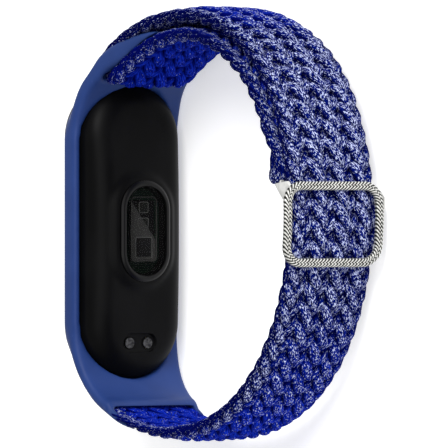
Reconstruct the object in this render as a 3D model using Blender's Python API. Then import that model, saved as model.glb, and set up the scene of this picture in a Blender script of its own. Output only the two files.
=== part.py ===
"""Fitness tracker band: a braided elastic loop, its silicone cradle, a slider buckle and a tracker capsule.

The band lies on its side. +X runs along the capsule's long axis, +Y from the buckle to the display and
+Z across the width of the band. Lengths below are in millimetres; MM turns them into metres.
"""

import math

import bmesh
import bpy
from mathutils import Matrix, Vector

MM = 0.001

# Width of the whole band, and its mid plane above the table.
CRADLE_HALF_WIDTH = 10.0
MID_Z = CRADLE_HALF_WIDTH

# Strap: one elastic braid, folded once through the upper wing's slot.
STRAP_HALF_WIDTH = 7.6
STRAP_THICKNESS = 2.2
STRAP_EDGE_RADIUS = 0.8
STRAP_STEP = 2.2
LAYER_GAP = 0.2
END_GAP = 0.3
POCKET_END_THICKNESS = 1.0

# The strap's outer face is a chain of arcs (radius, sweep in degrees), both ways from the buckle.
BUCKLE_ARC_CENTRE = (1.46, 7.0)
BUCKLE_ARC_RADIUS = 37.1
UPPER_ARCS = ((BUCKLE_ARC_RADIUS, 23.0), (27.2, 47.4), (35.1, 54.2))
LOWER_ARCS = ((BUCKLE_ARC_RADIUS, 24.0), (32.6, 76.0), (44.0, 17.0))
POCKET_TAPER_ANGLES = (85.0, 111.0)

# Fold round the tongue of the upper wing.
FOLD_RADIUS = 1.75
FOLD_SPLIT = 90.0
PARALLEL_ANGLE = 75.0

# Inner layer of the strap, from the fold to the buckle, as angles on the arcs.
STRETCH_ANGLES = (16.6, 48.0)
END_LOOP_ANGLES = (7.9, 16.0)
END_LOOP_HALF_WIDTH = 6.9
BARTACK_ANGLE = 13.2

# Slider buckle: angles are on the buckle arc.
BUCKLE_ANGLE = -2.3
BUCKLE_HALF_HEIGHT = 6.45
BUCKLE_HALF_WIDTH = 9.2
BUCKLE_CORNER = 2.6
BUCKLE_BAR_WIDTH = 1.2
BUCKLE_BAR_DEPTH = 1.1
BUCKLE_CLEARANCE = 0.12
PIN_ANGLE = 9.8
PIN_RADIUS = 0.5
PIN_CLEARANCE = 0.08
EAR_THICKNESS = 0.55
EAR_CLEARANCE = 0.15

# Capsule: a pill, straight for twice PILL_STRAIGHT, stacked along Y.
CAPSULE_X = -1.1
PILL_STRAIGHT = 14.45
PILL_END_STEPS = 12
BACK_Y = 20.82
SENSOR_Y = 19.7
FRONT_Y = 31.3
REAR_HALF_WIDTH = 8.6
FLANGE_HALF_WIDTH = 9.05
SHOULDER_RADIUS = 3.6
FLANGE_Y = 26.4
GLASS_SEAT_Y = 28.3
GLASS_BACK_Y = 28.95
GLASS_SEAT_HALF_WIDTH = 8.35
SHELL_WALL = 0.9

# Middles of the layers inside the capsule.
DISPLAY_Y = 28.45
FRAME_Y = 27.6
BATTERY_Y = 25.75
BOARD_Y = 23.9

# The capsule's back curves along its length: it rises BACK_BOW at BOW_HALF_LENGTH from the middle.
BACK_BOW = 0.8
BOW_HALF_LENGTH = 17.5
BOW_END_Y = 24.4
BOW_STEPS = 8

# Cradle collar round the capsule.
RIM_Y = 25.12
COLLAR_FRONT_Y = 28.8
LEDGE_Y = 26.1
REAR_OPENING_HALF_WIDTH = 8.75
FRONT_OPENING_HALF_WIDTH = 9.2
SLOT_CLEARANCE = 0.15

# Wings: outer point (x, y), inner point (x, y) and half width, from the collar to the tip.
UPPER_WING = (
    ((12.0, 28.2), (12.0, 25.2), 10.0),
    ((16.3, 27.6), (16.3, 24.9), 9.9),
    ((20.2, 26.4), (19.8, 23.7), 9.6),
    ((23.6, 24.2), (22.2, 21.5), 9.2),
    ((26.0, 21.4), (23.5, 19.3), 8.9),
    ((27.9, 17.4), (24.6, 16.4), 8.6),
    ((28.9, 13.8), (26.0, 13.2), 8.3),
    ((29.6, 10.2), (27.9, 9.9), 8.0),
    ((29.7, 6.9), (29.3, 6.7), 7.4),
)
LOWER_WING = (
    ((-14.0, 28.2), (-14.0, 25.2), 10.0),
    ((-18.3, 27.6), (-18.5, 25.0), 9.9),
    ((-22.4, 26.2), (-22.0, 24.0), 9.6),
    ((-25.6, 24.1), (-24.7, 22.3), 9.2),
    ((-28.0, 21.6), (-26.7, 20.0), 8.9),
    ((-29.6, 18.7), (-27.9, 17.7), 8.7),
    ((-30.7, 16.4), (-29.4, 16.1), 8.4),
    ((-31.5, 13.8), (-30.9, 13.7), 8.1),
    ((-32.1, 11.0), (-31.7, 10.9), 7.5),
)
WING_EDGE_RADIUS = 0.9
WING_STEPS_PER_SPAN = 3

# Sensor window, charging contacts and vibration motor.
SENSOR_HALF_WIDTH = 4.6
SENSOR_STRAIGHT = 3.3
SENSOR_BEZEL = 0.8
SENSOR_COLLAR_HALF_WIDTH = 4.0
SENSOR_MOUND = ((BACK_Y + 0.12, 5.7), (BACK_Y - 0.37, 5.05), (BACK_Y - 0.6, 4.85))
CONTACT_X = -18.6
CONTACT_SPACING = 3.4
CONTACT_RADIUS = 0.85
CONTACT_RECESS_HALF = 1.5
CONTACT_FACE_Y = 21.9
MOTOR_X = 16.2
MOTOR_Y = 25.6
MOTOR_RADIUS = 4.0


def clear_scene():
    for old in list(bpy.data.objects):
        bpy.data.objects.remove(old, do_unlink=True)


def make_material(name, colour, roughness, metallic=0.0, alpha=1.0):
    material = bpy.data.materials.new(name)
    material.use_nodes = True
    shader = material.node_tree.nodes["Principled BSDF"]
    shader.inputs["Base Color"].default_value = (*colour, 1.0)
    shader.inputs["Roughness"].default_value = roughness
    shader.inputs["Metallic"].default_value = metallic
    shader.inputs["Alpha"].default_value = alpha
    return material


def make_materials():
    return {
        "silicone": make_material("silicone", (0.035, 0.075, 0.27), 0.5),
        "braid": make_material("braid", (0.02, 0.03, 0.33), 0.85),
        "thread": make_material("thread", (0.01, 0.02, 0.2), 0.9),
        "buckle_steel": make_material("buckle_steel", (0.6, 0.6, 0.6), 0.35, 1.0),
        "steel": make_material("steel", (0.55, 0.55, 0.56), 0.3, 1.0),
        "black_shell": make_material("black_shell", (0.02, 0.02, 0.021), 0.4),
        "display_glass": make_material("display_glass", (0.01, 0.01, 0.012), 0.05),
        "sensor_glass": make_material("sensor_glass", (0.01, 0.01, 0.012), 0.06, 0.0, 0.6),
        "adhesive": make_material("adhesive", (0.08, 0.08, 0.08), 0.8),
        "display": make_material("display", (0.02, 0.02, 0.03), 0.2),
        "chassis": make_material("chassis", (0.12, 0.12, 0.13), 0.6),
        "board": make_material("board", (0.01, 0.07, 0.04), 0.5),
        "flex": make_material("flex", (0.45, 0.2, 0.03), 0.45),
        "chip": make_material("chip", (0.03, 0.03, 0.03), 0.45),
        "battery": make_material("battery", (0.5, 0.51, 0.53), 0.35, 0.6),
        "gold": make_material("gold", (0.8, 0.6, 0.25), 0.3, 1.0),
        "led": make_material("led", (0.25, 0.6, 0.25), 0.3),
        "photodiode": make_material("photodiode", (0.03, 0.03, 0.05), 0.2),
        "tungsten": make_material("tungsten", (0.3, 0.3, 0.31), 0.4, 1.0),
    }


# ---- meshes ----------------------------------------------------------------


def finish_mesh(name, bm, material, smooth_angle=35.0):
    """Turns a bmesh given in millimetres into one closed object in metres."""
    bmesh.ops.recalc_face_normals(bm, faces=bm.faces)
    bmesh.ops.scale(bm, vec=(MM, MM, MM), verts=bm.verts)
    mesh = bpy.data.meshes.new(name)
    bm.to_mesh(mesh)
    bm.free()
    mesh.materials.append(material)
    mesh.shade_smooth()
    mesh.set_sharp_from_angle(angle=math.radians(smooth_angle))
    obj = bpy.data.objects.new(name, mesh)
    bpy.context.scene.collection.objects.link(obj)
    return obj


def combine(target, cutter, operation="DIFFERENCE"):
    """Applies a Boolean of two closed objects to the first and removes the second."""
    modifier = target.modifiers.new("combine", "BOOLEAN")
    modifier.operation = operation
    modifier.object = cutter
    graph = bpy.context.evaluated_depsgraph_get()
    mesh = bpy.data.meshes.new_from_object(target.evaluated_get(graph))
    target.modifiers.clear()
    target.data = mesh
    bpy.data.objects.remove(cutter, do_unlink=True)


def loft(name, rings, material):
    """Skins rings of equal length and caps both ends."""
    bm = bmesh.new()
    rows = [[bm.verts.new(point) for point in ring] for ring in rings]
    for low, high in zip(rows, rows[1:]):
        for i in range(len(low)):
            j = (i + 1) % len(low)
            bm.faces.new((low[i], low[j], high[j], high[i]))
    bm.faces.new(rows[0])
    bm.faces.new(rows[-1])
    return finish_mesh(name, bm, material)


def closed_loft(name, rings, material):
    """Skins rings of equal length into a closed ring with no ends."""
    bm = bmesh.new()
    rows = [[bm.verts.new(point) for point in ring] for ring in rings]
    for k, low in enumerate(rows):
        high = rows[(k + 1) % len(rows)]
        for i in range(len(low)):
            j = (i + 1) % len(low)
            bm.faces.new((low[i], low[j], high[j], high[i]))
    return finish_mesh(name, bm, material)


def block(name, centre, size, material, bevel=0.12):
    """A box with chamfered edges."""
    bm = bmesh.new()
    bmesh.ops.create_cube(bm, size=1.0)
    bmesh.ops.scale(bm, vec=size, verts=bm.verts)
    if bevel:
        bmesh.ops.bevel(bm, geom=bm.edges[:], offset=bevel, segments=1, affect="EDGES")
    bmesh.ops.translate(bm, vec=centre, verts=bm.verts)
    return finish_mesh(name, bm, material)


def rod(name, start, end, radius, material, segments=16):
    """A round bar between two points."""
    start, end = Vector(start), Vector(end)
    axis = end - start
    turn = axis.to_track_quat("Z", "Y").to_matrix().to_4x4()
    bm = bmesh.new()
    bmesh.ops.create_cone(
        bm, cap_ends=True, segments=segments, radius1=radius, radius2=radius, depth=axis.length
    )
    bmesh.ops.transform(bm, matrix=Matrix.Translation((start + end) / 2) @ turn, verts=bm.verts)
    return finish_mesh(name, bm, material)


def rounded_rectangle(half_width, half_height, radius, corner_steps=3):
    """Points (across, up) of a rectangle with round corners, counter-clockwise."""
    points = []
    for quarter, (sx, sy) in enumerate(((1, 1), (-1, 1), (-1, -1), (1, -1))):
        centre = (sx * (half_width - radius), sy * (half_height - radius))
        for k in range(corner_steps + 1):
            angle = math.radians(90 * (quarter + k / corner_steps))
            points.append((centre[0] + radius * math.cos(angle), centre[1] + radius * math.sin(angle)))
    return points


# ---- pills, stacked along Y ------------------------------------------------


def pill_ring(y, half_width, straight=PILL_STRAIGHT, straight_steps=1, bow=False):
    """A stadium outline in the plane at y, long along X; a bowed one follows the capsule's curved back."""
    ring = []
    for side in (1, -1):
        for k in range(PILL_END_STEPS):
            angle = math.radians(90 - 180 * k / PILL_END_STEPS)
            across = side * half_width * math.sin(angle)
            ring.append((side * (straight + half_width * math.cos(angle)), across))
        for k in range(straight_steps):
            ring.append((side * straight * (1 - 2 * k / straight_steps), -side * half_width))
    points = []
    for along, across in ring:
        points.append((CAPSULE_X + along, y + (bow_rise(along, y) if bow else 0.0), MID_Z + across))
    return points


def bow_rise(along, y):
    """How far the curved back stands forward of a flat one, fading out towards the flange."""
    fade = min(1.0, max(0.0, (BOW_END_Y - y) / (BOW_END_Y - BACK_Y)))
    return fade * BACK_BOW * (along / BOW_HALF_LENGTH) ** 2


def pill_stack(name, levels, material, **outline):
    """A solid made of stadium outlines, given as (y, half width), whose caps are strips across it."""
    bm = bmesh.new()
    rows = []
    for y, half_width in levels:
        rows.append([bm.verts.new(point) for point in pill_ring(y, half_width, **outline)])
    count = len(rows[0])
    for low, high in zip(rows, rows[1:]):
        for i in range(count):
            j = (i + 1) % count
            bm.faces.new((low[i], low[j], high[j], high[i]))
    tip = PILL_END_STEPS // 2
    for row in (rows[0], rows[-1]):
        for i in range(tip, tip + count // 2):
            corners = []
            for k in (i, i + 1, PILL_END_STEPS - i - 1, PILL_END_STEPS - i):
                vert = row[k % count]
                if vert not in corners:
                    corners.append(vert)
            bm.faces.new(corners)
    return finish_mesh(name, bm, material)


def shoulder(y, half_width, radius, steps=5):
    """Levels of a rounded back edge that ends at (y + radius, half_width)."""
    levels = []
    for k in range(steps + 1):
        angle = math.radians(90 * k / steps)
        levels.append((y + radius * (1 - math.sin(angle)), half_width - radius * (1 - math.cos(angle))))
    return sorted(levels)


# ---- strap paths -----------------------------------------------------------


def arc_centres(arcs, side):
    """Centre and angle range of each arc in a tangent chain that starts at the buckle."""
    centre = Vector(BUCKLE_ARC_CENTRE)
    angle = 0.0
    chain = []
    for k, (radius, sweep) in enumerate(arcs):
        if k:
            turn = math.radians(angle)
            step = arcs[k - 1][0] - radius
            centre = centre + step * Vector((side * math.sin(turn), -math.cos(turn)))
        chain.append((centre.copy(), radius, angle, angle + sweep))
        angle += sweep
    return chain


def outward(angle, side=1):
    """Unit vector from an arc's centre to its point at an angle from -Y, in degrees."""
    turn = math.radians(angle)
    return Vector((side * math.sin(turn), -math.cos(turn)))


def offset_chain(arcs, side, start, end, depth, step=STRAP_STEP):
    """Points (position, outward normal, angle) at a depth under the chain's outer face."""
    points = []
    for centre, radius, low, high in arc_centres(arcs, side):
        low, high = max(low, start), min(high, end)
        if high <= low:
            continue
        steps = max(2, round(math.radians(high - low) * radius / step))
        for k in range(steps + 1):
            if points and k == 0:
                continue
            angle = low + (high - low) * k / steps
            normal = outward(angle, side)
            points.append((centre + (radius - depth(angle)) * normal, normal, angle))
    return points


def fold_centre():
    """Centre of the fold, which touches the strap's mid line from inside at the last upper angle."""
    centre, radius, _, last = arc_centres(UPPER_ARCS, 1)[-1]
    return centre + (radius - STRAP_THICKNESS / 2 - FOLD_RADIUS) * outward(last), last


def fold_path(start, end, steps=8):
    """Points round the fold, with angles counted from where the outer layer enters it."""
    centre, last = fold_centre()
    points = []
    for k in range(steps + 1):
        angle = start + (end - start) * k / steps
        normal = outward(last + angle)
        points.append((centre + FOLD_RADIUS * normal, normal, angle))
    return points


def inner_layer_depth(angle):
    """Depth of the inner layer's mid line: parallel to the outer layer, then down to the fold."""
    parallel = 1.5 * STRAP_THICKNESS + LAYER_GAP
    at_fold = STRAP_THICKNESS / 2 + 2 * FOLD_RADIUS
    last = sum(sweep for _, sweep in UPPER_ARCS)
    t = min(1.0, max(0.0, (angle - PARALLEL_ANGLE) / (last - PARALLEL_ANGLE)))
    return parallel + (at_fold - parallel) * t * t * (3 - 2 * t)


def inner_layer_path(start, end):
    """Points of the inner layer between two angles; its outward normals face the outer layer."""
    return offset_chain(UPPER_ARCS, 1, start, end, inner_layer_depth)


def pocket_thickness(angle):
    """Strap thickness towards the lower wing, where the end is pressed flat."""
    start, end = POCKET_TAPER_ANGLES
    t = min(1.0, max(0.0, (angle - start) / (end - start)))
    return STRAP_THICKNESS + (POCKET_END_THICKNESS - STRAP_THICKNESS) * t


def ribbon(name, path, material, half_width=STRAP_HALF_WIDTH, grow=0.0, thickness=None):
    """A flat band swept along (position, normal, angle) points with a rounded section."""
    rings = []
    for position, normal, angle in path:
        depth = (thickness(angle) if thickness else STRAP_THICKNESS) / 2 + grow
        radius = min(STRAP_EDGE_RADIUS, 0.9 * depth)
        ring = []
        for across, up in rounded_rectangle(half_width + grow, depth, radius, 2):
            spot = position + up * normal
            ring.append((spot.x, spot.y, MID_Z + across))
        rings.append(ring)
    return loft(name, rings, material)


def outer_run_path(pocket_angle=None, fold_end=FOLD_SPLIT, start=None):
    """The outer layer from the lower pocket round the buckle side and over the top into the fold."""
    last_lower = sum(sweep for _, sweep in LOWER_ARCS)
    lower = offset_chain(
        LOWER_ARCS, -1, 0, pocket_angle or last_lower, lambda angle: pocket_thickness(angle) / 2
    )
    lower = [(position, normal, -angle) for position, normal, angle in reversed(lower)]
    last_upper = sum(sweep for _, sweep in UPPER_ARCS)
    upper = offset_chain(UPPER_ARCS, 1, 0, last_upper, lambda angle: STRAP_THICKNESS / 2)
    path = lower + upper[1:]
    if start is not None:
        path = [point for point in path if point[2] >= start]
    return path + fold_path(0, fold_end)[1:]


def make_strap(mat):
    fold_gap = math.degrees(END_GAP / FOLD_RADIUS) / 2
    ribbon(
        "strap_outer_run",
        outer_run_path(fold_end=FOLD_SPLIT - fold_gap),
        mat["braid"],
        thickness=lambda angle: pocket_thickness(-angle) if angle < 0 else STRAP_THICKNESS,
    )
    last_upper = sum(sweep for _, sweep in UPPER_ARCS)
    half_fold = fold_path(FOLD_SPLIT + fold_gap, 180)
    fold = [(position, -normal, angle) for position, normal, angle in half_fold]
    inner = list(reversed(inner_layer_path(STRETCH_ANGLES[1], last_upper)))
    ribbon("strap_inner_run", fold + inner[1:], mat["braid"])
    gap = math.degrees(END_GAP / UPPER_ARCS[1][0])
    ribbon(
        "strap_stretch_section",
        inner_layer_path(STRETCH_ANGLES[0], STRETCH_ANGLES[1] - gap),
        mat["braid"],
    )
    loop_path = inner_layer_path(*END_LOOP_ANGLES)
    end_loop = ribbon("strap_end_loop", loop_path, mat["braid"], half_width=END_LOOP_HALF_WIDTH)
    combine(end_loop, pin_rod("pin_hole", PIN_RADIUS + PIN_CLEARANCE, BUCKLE_HALF_WIDTH, mat["steel"]))
    return end_loop


def make_bartack(mat):
    """The row of stitches that closes the loop round the buckle's pin, on the wrist side."""
    angle = BARTACK_ANGLE
    centre = Vector(BUCKLE_ARC_CENTRE)
    depth = inner_layer_depth(angle) + STRAP_THICKNESS / 2 + 0.1 + 0.15
    normal = outward(angle)
    spot = centre + (BUCKLE_ARC_RADIUS - depth) * normal
    tack = block("end_bartack", (0, 0, 0), (1.2, 0.3, 11.0), mat["thread"], 0.08)
    tack.data.transform(Matrix.Rotation(math.radians(angle), 4, "Z"))
    tack.data.transform(Matrix.Translation(Vector((spot.x, spot.y, MID_Z)) * MM))
    return tack


# ---- cradle ----------------------------------------------------------------


def spline_value(values, k, t):
    """Catmull-Rom value between entries k and k + 1."""
    before = values[max(k - 1, 0)]
    after = values[min(k + 2, len(values) - 1)]
    a, b = values[k], values[k + 1]
    return 0.5 * (2 * a + (b - before) * t + (2 * before - 5 * a + 4 * b - after) * t * t
                  + (3 * a - before - 3 * b + after) * t ** 3)


def wing(name, stations, material):
    """A wing skinned through stations that each give its outer line, inner line and half width."""
    outer = [Vector(station[0]) for station in stations]
    inner = [Vector(station[1]) for station in stations]
    widths = [station[2] for station in stations]
    rings = []
    spans = len(stations) - 1
    for i in range(spans * WING_STEPS_PER_SPAN + 1):
        k, rest = divmod(i, WING_STEPS_PER_SPAN)
        k, t = (spans - 1, 1.0) if k == spans else (k, rest / WING_STEPS_PER_SPAN)
        top, bottom = spline_value(outer, k, t), spline_value(inner, k, t)
        half_width = spline_value(widths, k, t)
        middle, half = (top + bottom) / 2, (top - bottom) / 2
        depth = half.length
        radius = min(WING_EDGE_RADIUS, 0.8 * depth)
        ring = []
        for across, up in rounded_rectangle(half_width, depth, radius, 2):
            spot = middle + half * (up / depth)
            ring.append((spot.x, spot.y, MID_Z + across))
        rings.append(ring)
    return loft(name, rings, material)


def make_cradle(mat):
    silicone = mat["silicone"]
    collar_levels = (
        (RIM_Y, 9.5), (RIM_Y + 0.15, 9.8), (RIM_Y + 0.45, CRADLE_HALF_WIDTH),
        (COLLAR_FRONT_Y - 1.2, CRADLE_HALF_WIDTH), (COLLAR_FRONT_Y - 0.5, 9.75), (COLLAR_FRONT_Y, 9.3),
    )
    cradle = pill_stack("cradle", collar_levels, silicone)
    combine(cradle, wing("upper_wing", UPPER_WING, silicone), "UNION")
    combine(cradle, wing("lower_wing", LOWER_WING, silicone), "UNION")
    far = 20.0
    rear = ((RIM_Y - far, REAR_OPENING_HALF_WIDTH), (LEDGE_Y + 0.5, REAR_OPENING_HALF_WIDTH))
    combine(cradle, pill_stack("rear_opening", rear, silicone))
    front = ((LEDGE_Y, FRONT_OPENING_HALF_WIDTH), (COLLAR_FRONT_Y + far, FRONT_OPENING_HALF_WIDTH))
    combine(cradle, pill_stack("front_opening", front, silicone))

    slot_start = 80.0
    last_upper = sum(sweep for _, sweep in UPPER_ARCS)
    slot_path = outer_run_path(start=slot_start, fold_end=180)
    back = [(p, -n, a) for p, n, a in reversed(inner_layer_path(slot_start, last_upper))]
    combine(cradle, ribbon("slot", slot_path + back[1:], silicone, grow=SLOT_CLEARANCE))

    last_lower = sum(sweep for _, sweep in LOWER_ARCS)
    pocket = offset_chain(
        LOWER_ARCS, -1, 88.0, last_lower + 0.5, lambda angle: pocket_thickness(angle) / 2, 1.5
    )
    combine(cradle, ribbon("pocket", pocket, silicone, grow=SLOT_CLEARANCE, thickness=pocket_thickness))
    return cradle


# ---- buckle ----------------------------------------------------------------


def on_buckle_arc(angle, radius, across):
    spot = Vector(BUCKLE_ARC_CENTRE) + radius * outward(angle)
    return Vector((spot.x, spot.y, MID_Z + across))


def pin_rod(name, radius, half_length, material):
    depth = inner_layer_depth(PIN_ANGLE)
    at = BUCKLE_ARC_RADIUS - depth
    return rod(
        name, on_buckle_arc(PIN_ANGLE, at, -half_length), on_buckle_arc(PIN_ANGLE, at, half_length),
        radius, material,
    )


def side_plate(name, outline, low, high, side, material):
    """A flat plate across the buckle's side, from (angle, depth) points on the buckle arc."""
    rings = []
    for across in (low, high):
        ring = []
        for angle, depth in outline:
            ring.append(on_buckle_arc(angle, BUCKLE_ARC_RADIUS - depth, side * across))
        rings.append(ring)
    return loft(name, rings, material)


def buckle_ear(name, side, material):
    """Plate from the frame past the outer layer's edge, a step inwards, and the lug that holds the pin."""
    low = STRAP_HALF_WIDTH + EAR_CLEARANCE
    high = low + EAR_THICKNESS
    step_depth = STRAP_THICKNESS + 0.2
    plate = ((3.6, -0.7), (6.2, -0.7), (7.5, 0.3), (7.5, 3.0), (6.6, 3.0), (4.0, 1.5))
    ear = side_plate(name, plate, low, high, side, material)
    lug_low = END_LOOP_HALF_WIDTH + EAR_CLEARANCE
    step = ((6.4, step_depth), (7.45, step_depth), (7.45, 2.95), (6.5, 2.95))
    combine(ear, side_plate("step", step, lug_low, high - 0.05, side, material), "UNION")
    pin_depth = inner_layer_depth(PIN_ANGLE)
    lug = (
        (6.45, step_depth + 0.05), (PIN_ANGLE + 1.2, step_depth + 0.05), (PIN_ANGLE + 1.6, pin_depth),
        (PIN_ANGLE + 1.0, pin_depth + 0.8), (PIN_ANGLE - 0.8, pin_depth + 0.8), (6.6, 2.9),
    )
    combine(ear, side_plate("lug", lug, lug_low + 0.02, STRAP_HALF_WIDTH, side, material), "UNION")
    return ear


def make_buckle(mat):
    """Rectangular slider frame, bent to the strap's arc, with two ears that carry the pin."""
    steel = mat["buckle_steel"]
    inner_radius = BUCKLE_ARC_RADIUS + BUCKLE_CLEARANCE
    mid_radius = inner_radius + BUCKLE_BAR_DEPTH / 2
    outline = rounded_rectangle(
        BUCKLE_HALF_WIDTH - BUCKLE_BAR_WIDTH / 2, BUCKLE_HALF_HEIGHT - BUCKLE_BAR_WIDTH / 2,
        BUCKLE_CORNER - BUCKLE_BAR_WIDTH / 2, 4,
    )
    straight_steps = 6
    route = []
    for k, (across, up) in enumerate(outline):
        after = outline[(k + 1) % len(outline)]
        route.append((across, up))
        if math.hypot(after[0] - across, after[1] - up) > 4:
            for s in range(1, straight_steps):
                t = s / straight_steps
                route.append((across + (after[0] - across) * t, up + (after[1] - up) * t))
    section = rounded_rectangle(BUCKLE_BAR_WIDTH / 2, BUCKLE_BAR_DEPTH / 2, 0.45, 1)
    rings = []
    for k, (across, up) in enumerate(route):
        before, after = route[k - 1], route[(k + 1) % len(route)]
        run = Vector((after[0] - before[0], after[1] - before[1])).normalized()
        out = Vector((run.y, -run.x))
        ring = []
        for aside, depth in section:
            flat = Vector((across, up)) + aside * out
            angle = BUCKLE_ANGLE + math.degrees(flat.y / mid_radius)
            ring.append(on_buckle_arc(angle, mid_radius + depth, flat.x))
        rings.append(ring)
    frame = closed_loft("buckle_frame", rings, steel)
    for side in (1, -1):
        combine(frame, buckle_ear("ear", side, steel), "UNION")
    combine(frame, pin_rod("pin_hole", PIN_RADIUS + PIN_CLEARANCE, BUCKLE_HALF_WIDTH, steel))
    pin = pin_rod("buckle_anchor_pin", PIN_RADIUS, STRAP_HALF_WIDTH, mat["steel"])
    return frame, pin


# ---- capsule ---------------------------------------------------------------


def make_shell(mat):
    """The capsule's back shell: a pill-shaped cup with a raised mound round the sensor, open at the front."""
    black = mat["black_shell"]
    bowed = {"straight_steps": BOW_STEPS, "bow": True}
    outside = shoulder(BACK_Y, REAR_HALF_WIDTH, SHOULDER_RADIUS) + [
        (FLANGE_Y - 0.1, REAR_HALF_WIDTH), (FLANGE_Y + 0.2, FLANGE_HALF_WIDTH),
        (GLASS_SEAT_Y + 0.3, FLANGE_HALF_WIDTH), (GLASS_SEAT_Y + 0.5, FLANGE_HALF_WIDTH - 0.15),
    ]
    shell = pill_stack("capsule_shell", outside, black, **bowed)
    mound = ((BACK_Y + 0.6, SENSOR_MOUND[0][1]),) + SENSOR_MOUND
    combine(shell, pill_stack("mound", mound, black, straight=SENSOR_STRAIGHT), "UNION")
    inside = shoulder(
        BACK_Y + SHELL_WALL, REAR_HALF_WIDTH - SHELL_WALL, SHOULDER_RADIUS - SHELL_WALL
    ) + [(GLASS_SEAT_Y + 2.0, REAR_HALF_WIDTH - SHELL_WALL)]
    combine(shell, pill_stack("cavity", inside, black, **bowed))
    seat_half = GLASS_SEAT_HALF_WIDTH
    seat = ((GLASS_SEAT_Y, seat_half), (GLASS_SEAT_Y + 2.0, seat_half))
    combine(shell, pill_stack("glass_seat", seat, black))
    hole_half = SENSOR_COLLAR_HALF_WIDTH + 0.15
    hole = ((BACK_Y - 2.0, hole_half), (BACK_Y + 2.0, hole_half))
    combine(shell, pill_stack("sensor_hole", hole, black, straight=SENSOR_STRAIGHT))
    recess = contact_recess(BACK_Y - 1.0, CONTACT_FACE_Y + 0.2)
    combine(shell, loft("contact_recess", recess, black))
    for side in (1, -1):
        hole = contact_pin("contact_hole", side, CONTACT_RADIUS + 0.1, BACK_Y - 1, BACK_Y + 3, black)
        combine(shell, hole)
    return shell


def contact_recess(low_y, high_y):
    """Two stadium outlines, long across the band, round both charging contacts."""
    rings = []
    for y in (low_y, high_y):
        ring = []
        for side in (1, -1):
            for k in range(9):
                angle = math.radians(-90 + 180 * k / 8)
                across = side * (CONTACT_SPACING / 2 + CONTACT_RECESS_HALF * math.cos(angle))
                along = side * CONTACT_RECESS_HALF * math.sin(angle)
                ring.append((CONTACT_X + along, y, MID_Z + across))
        rings.append(ring)
    return rings


def contact_pin(name, side, radius, low_y, high_y, material):
    z = MID_Z + side * CONTACT_SPACING / 2
    return rod(name, (CONTACT_X, low_y, z), (CONTACT_X, high_y, z), radius, material, 20)


def make_front(mat):
    """Cover glass, its adhesive and the display under it."""
    glass_levels = (
        (GLASS_BACK_Y, 8.9), (GLASS_BACK_Y + 0.25, 8.9), (FRONT_Y - 1.4, 8.45),
        (FRONT_Y - 0.7, 7.5), (FRONT_Y - 0.2, 6.3), (FRONT_Y, 5.0),
    )
    pill_stack("front_glass", glass_levels, mat["display_glass"])
    ring_half = GLASS_SEAT_HALF_WIDTH - 0.1
    ring_levels = ((GLASS_SEAT_Y + 0.1, ring_half), (GLASS_BACK_Y - 0.1, ring_half))
    ring = pill_stack("glass_adhesive", ring_levels, mat["adhesive"])
    hole = ((GLASS_SEAT_Y - 1, ring_half - 0.75), (GLASS_SEAT_Y + 2, ring_half - 0.75))
    combine(ring, pill_stack("adhesive_hole", hole, mat["adhesive"]))
    block("display_panel", (CAPSULE_X, DISPLAY_Y, MID_Z), (32.0, 0.7, 13.0), mat["display"], 0.15)
    block("display_flex", (CAPSULE_X - 17.6, DISPLAY_Y, MID_Z), (2.4, 0.2, 7.0), mat["flex"], 0.05)
    block("antenna_strip", (CAPSULE_X + 18.6, DISPLAY_Y, MID_Z), (2.4, 0.4, 9.0), mat["gold"], 0.06)
    pill_stack("inner_frame", ((FRAME_Y - 0.25, 7.4), (FRAME_Y + 0.25, 7.4)), mat["chassis"])


def make_electronics(mat):
    """Battery, boards and chips, stacked behind the display."""
    block("battery_cell", (CAPSULE_X - 4.0, BATTERY_Y, MID_Z), (25.0, 2.6, 12.4), mat["battery"], 0.4)
    block("battery_flex", (CAPSULE_X - 17.6, BATTERY_Y, MID_Z), (1.6, 0.9, 9.0), mat["flex"], 0.06)
    block("main_board", (CAPSULE_X - 2.6, BOARD_Y, MID_Z), (28.0, 0.6, 12.6), mat["board"], 0.1)
    chip_y = BOARD_Y - 0.85
    block("processor_shield", (CAPSULE_X - 10.6, chip_y, MID_Z), (7.0, 0.9, 8.0), mat["steel"], 0.15)
    block("motion_sensor_chip", (CAPSULE_X + 9.2, chip_y, MID_Z + 2.6), (2.5, 0.8, 3.0), mat["chip"], 0.1)
    block("radio_chip", (CAPSULE_X + 9.2, chip_y, MID_Z - 2.6), (3.0, 0.8, 3.0), mat["chip"], 0.1)


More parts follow.
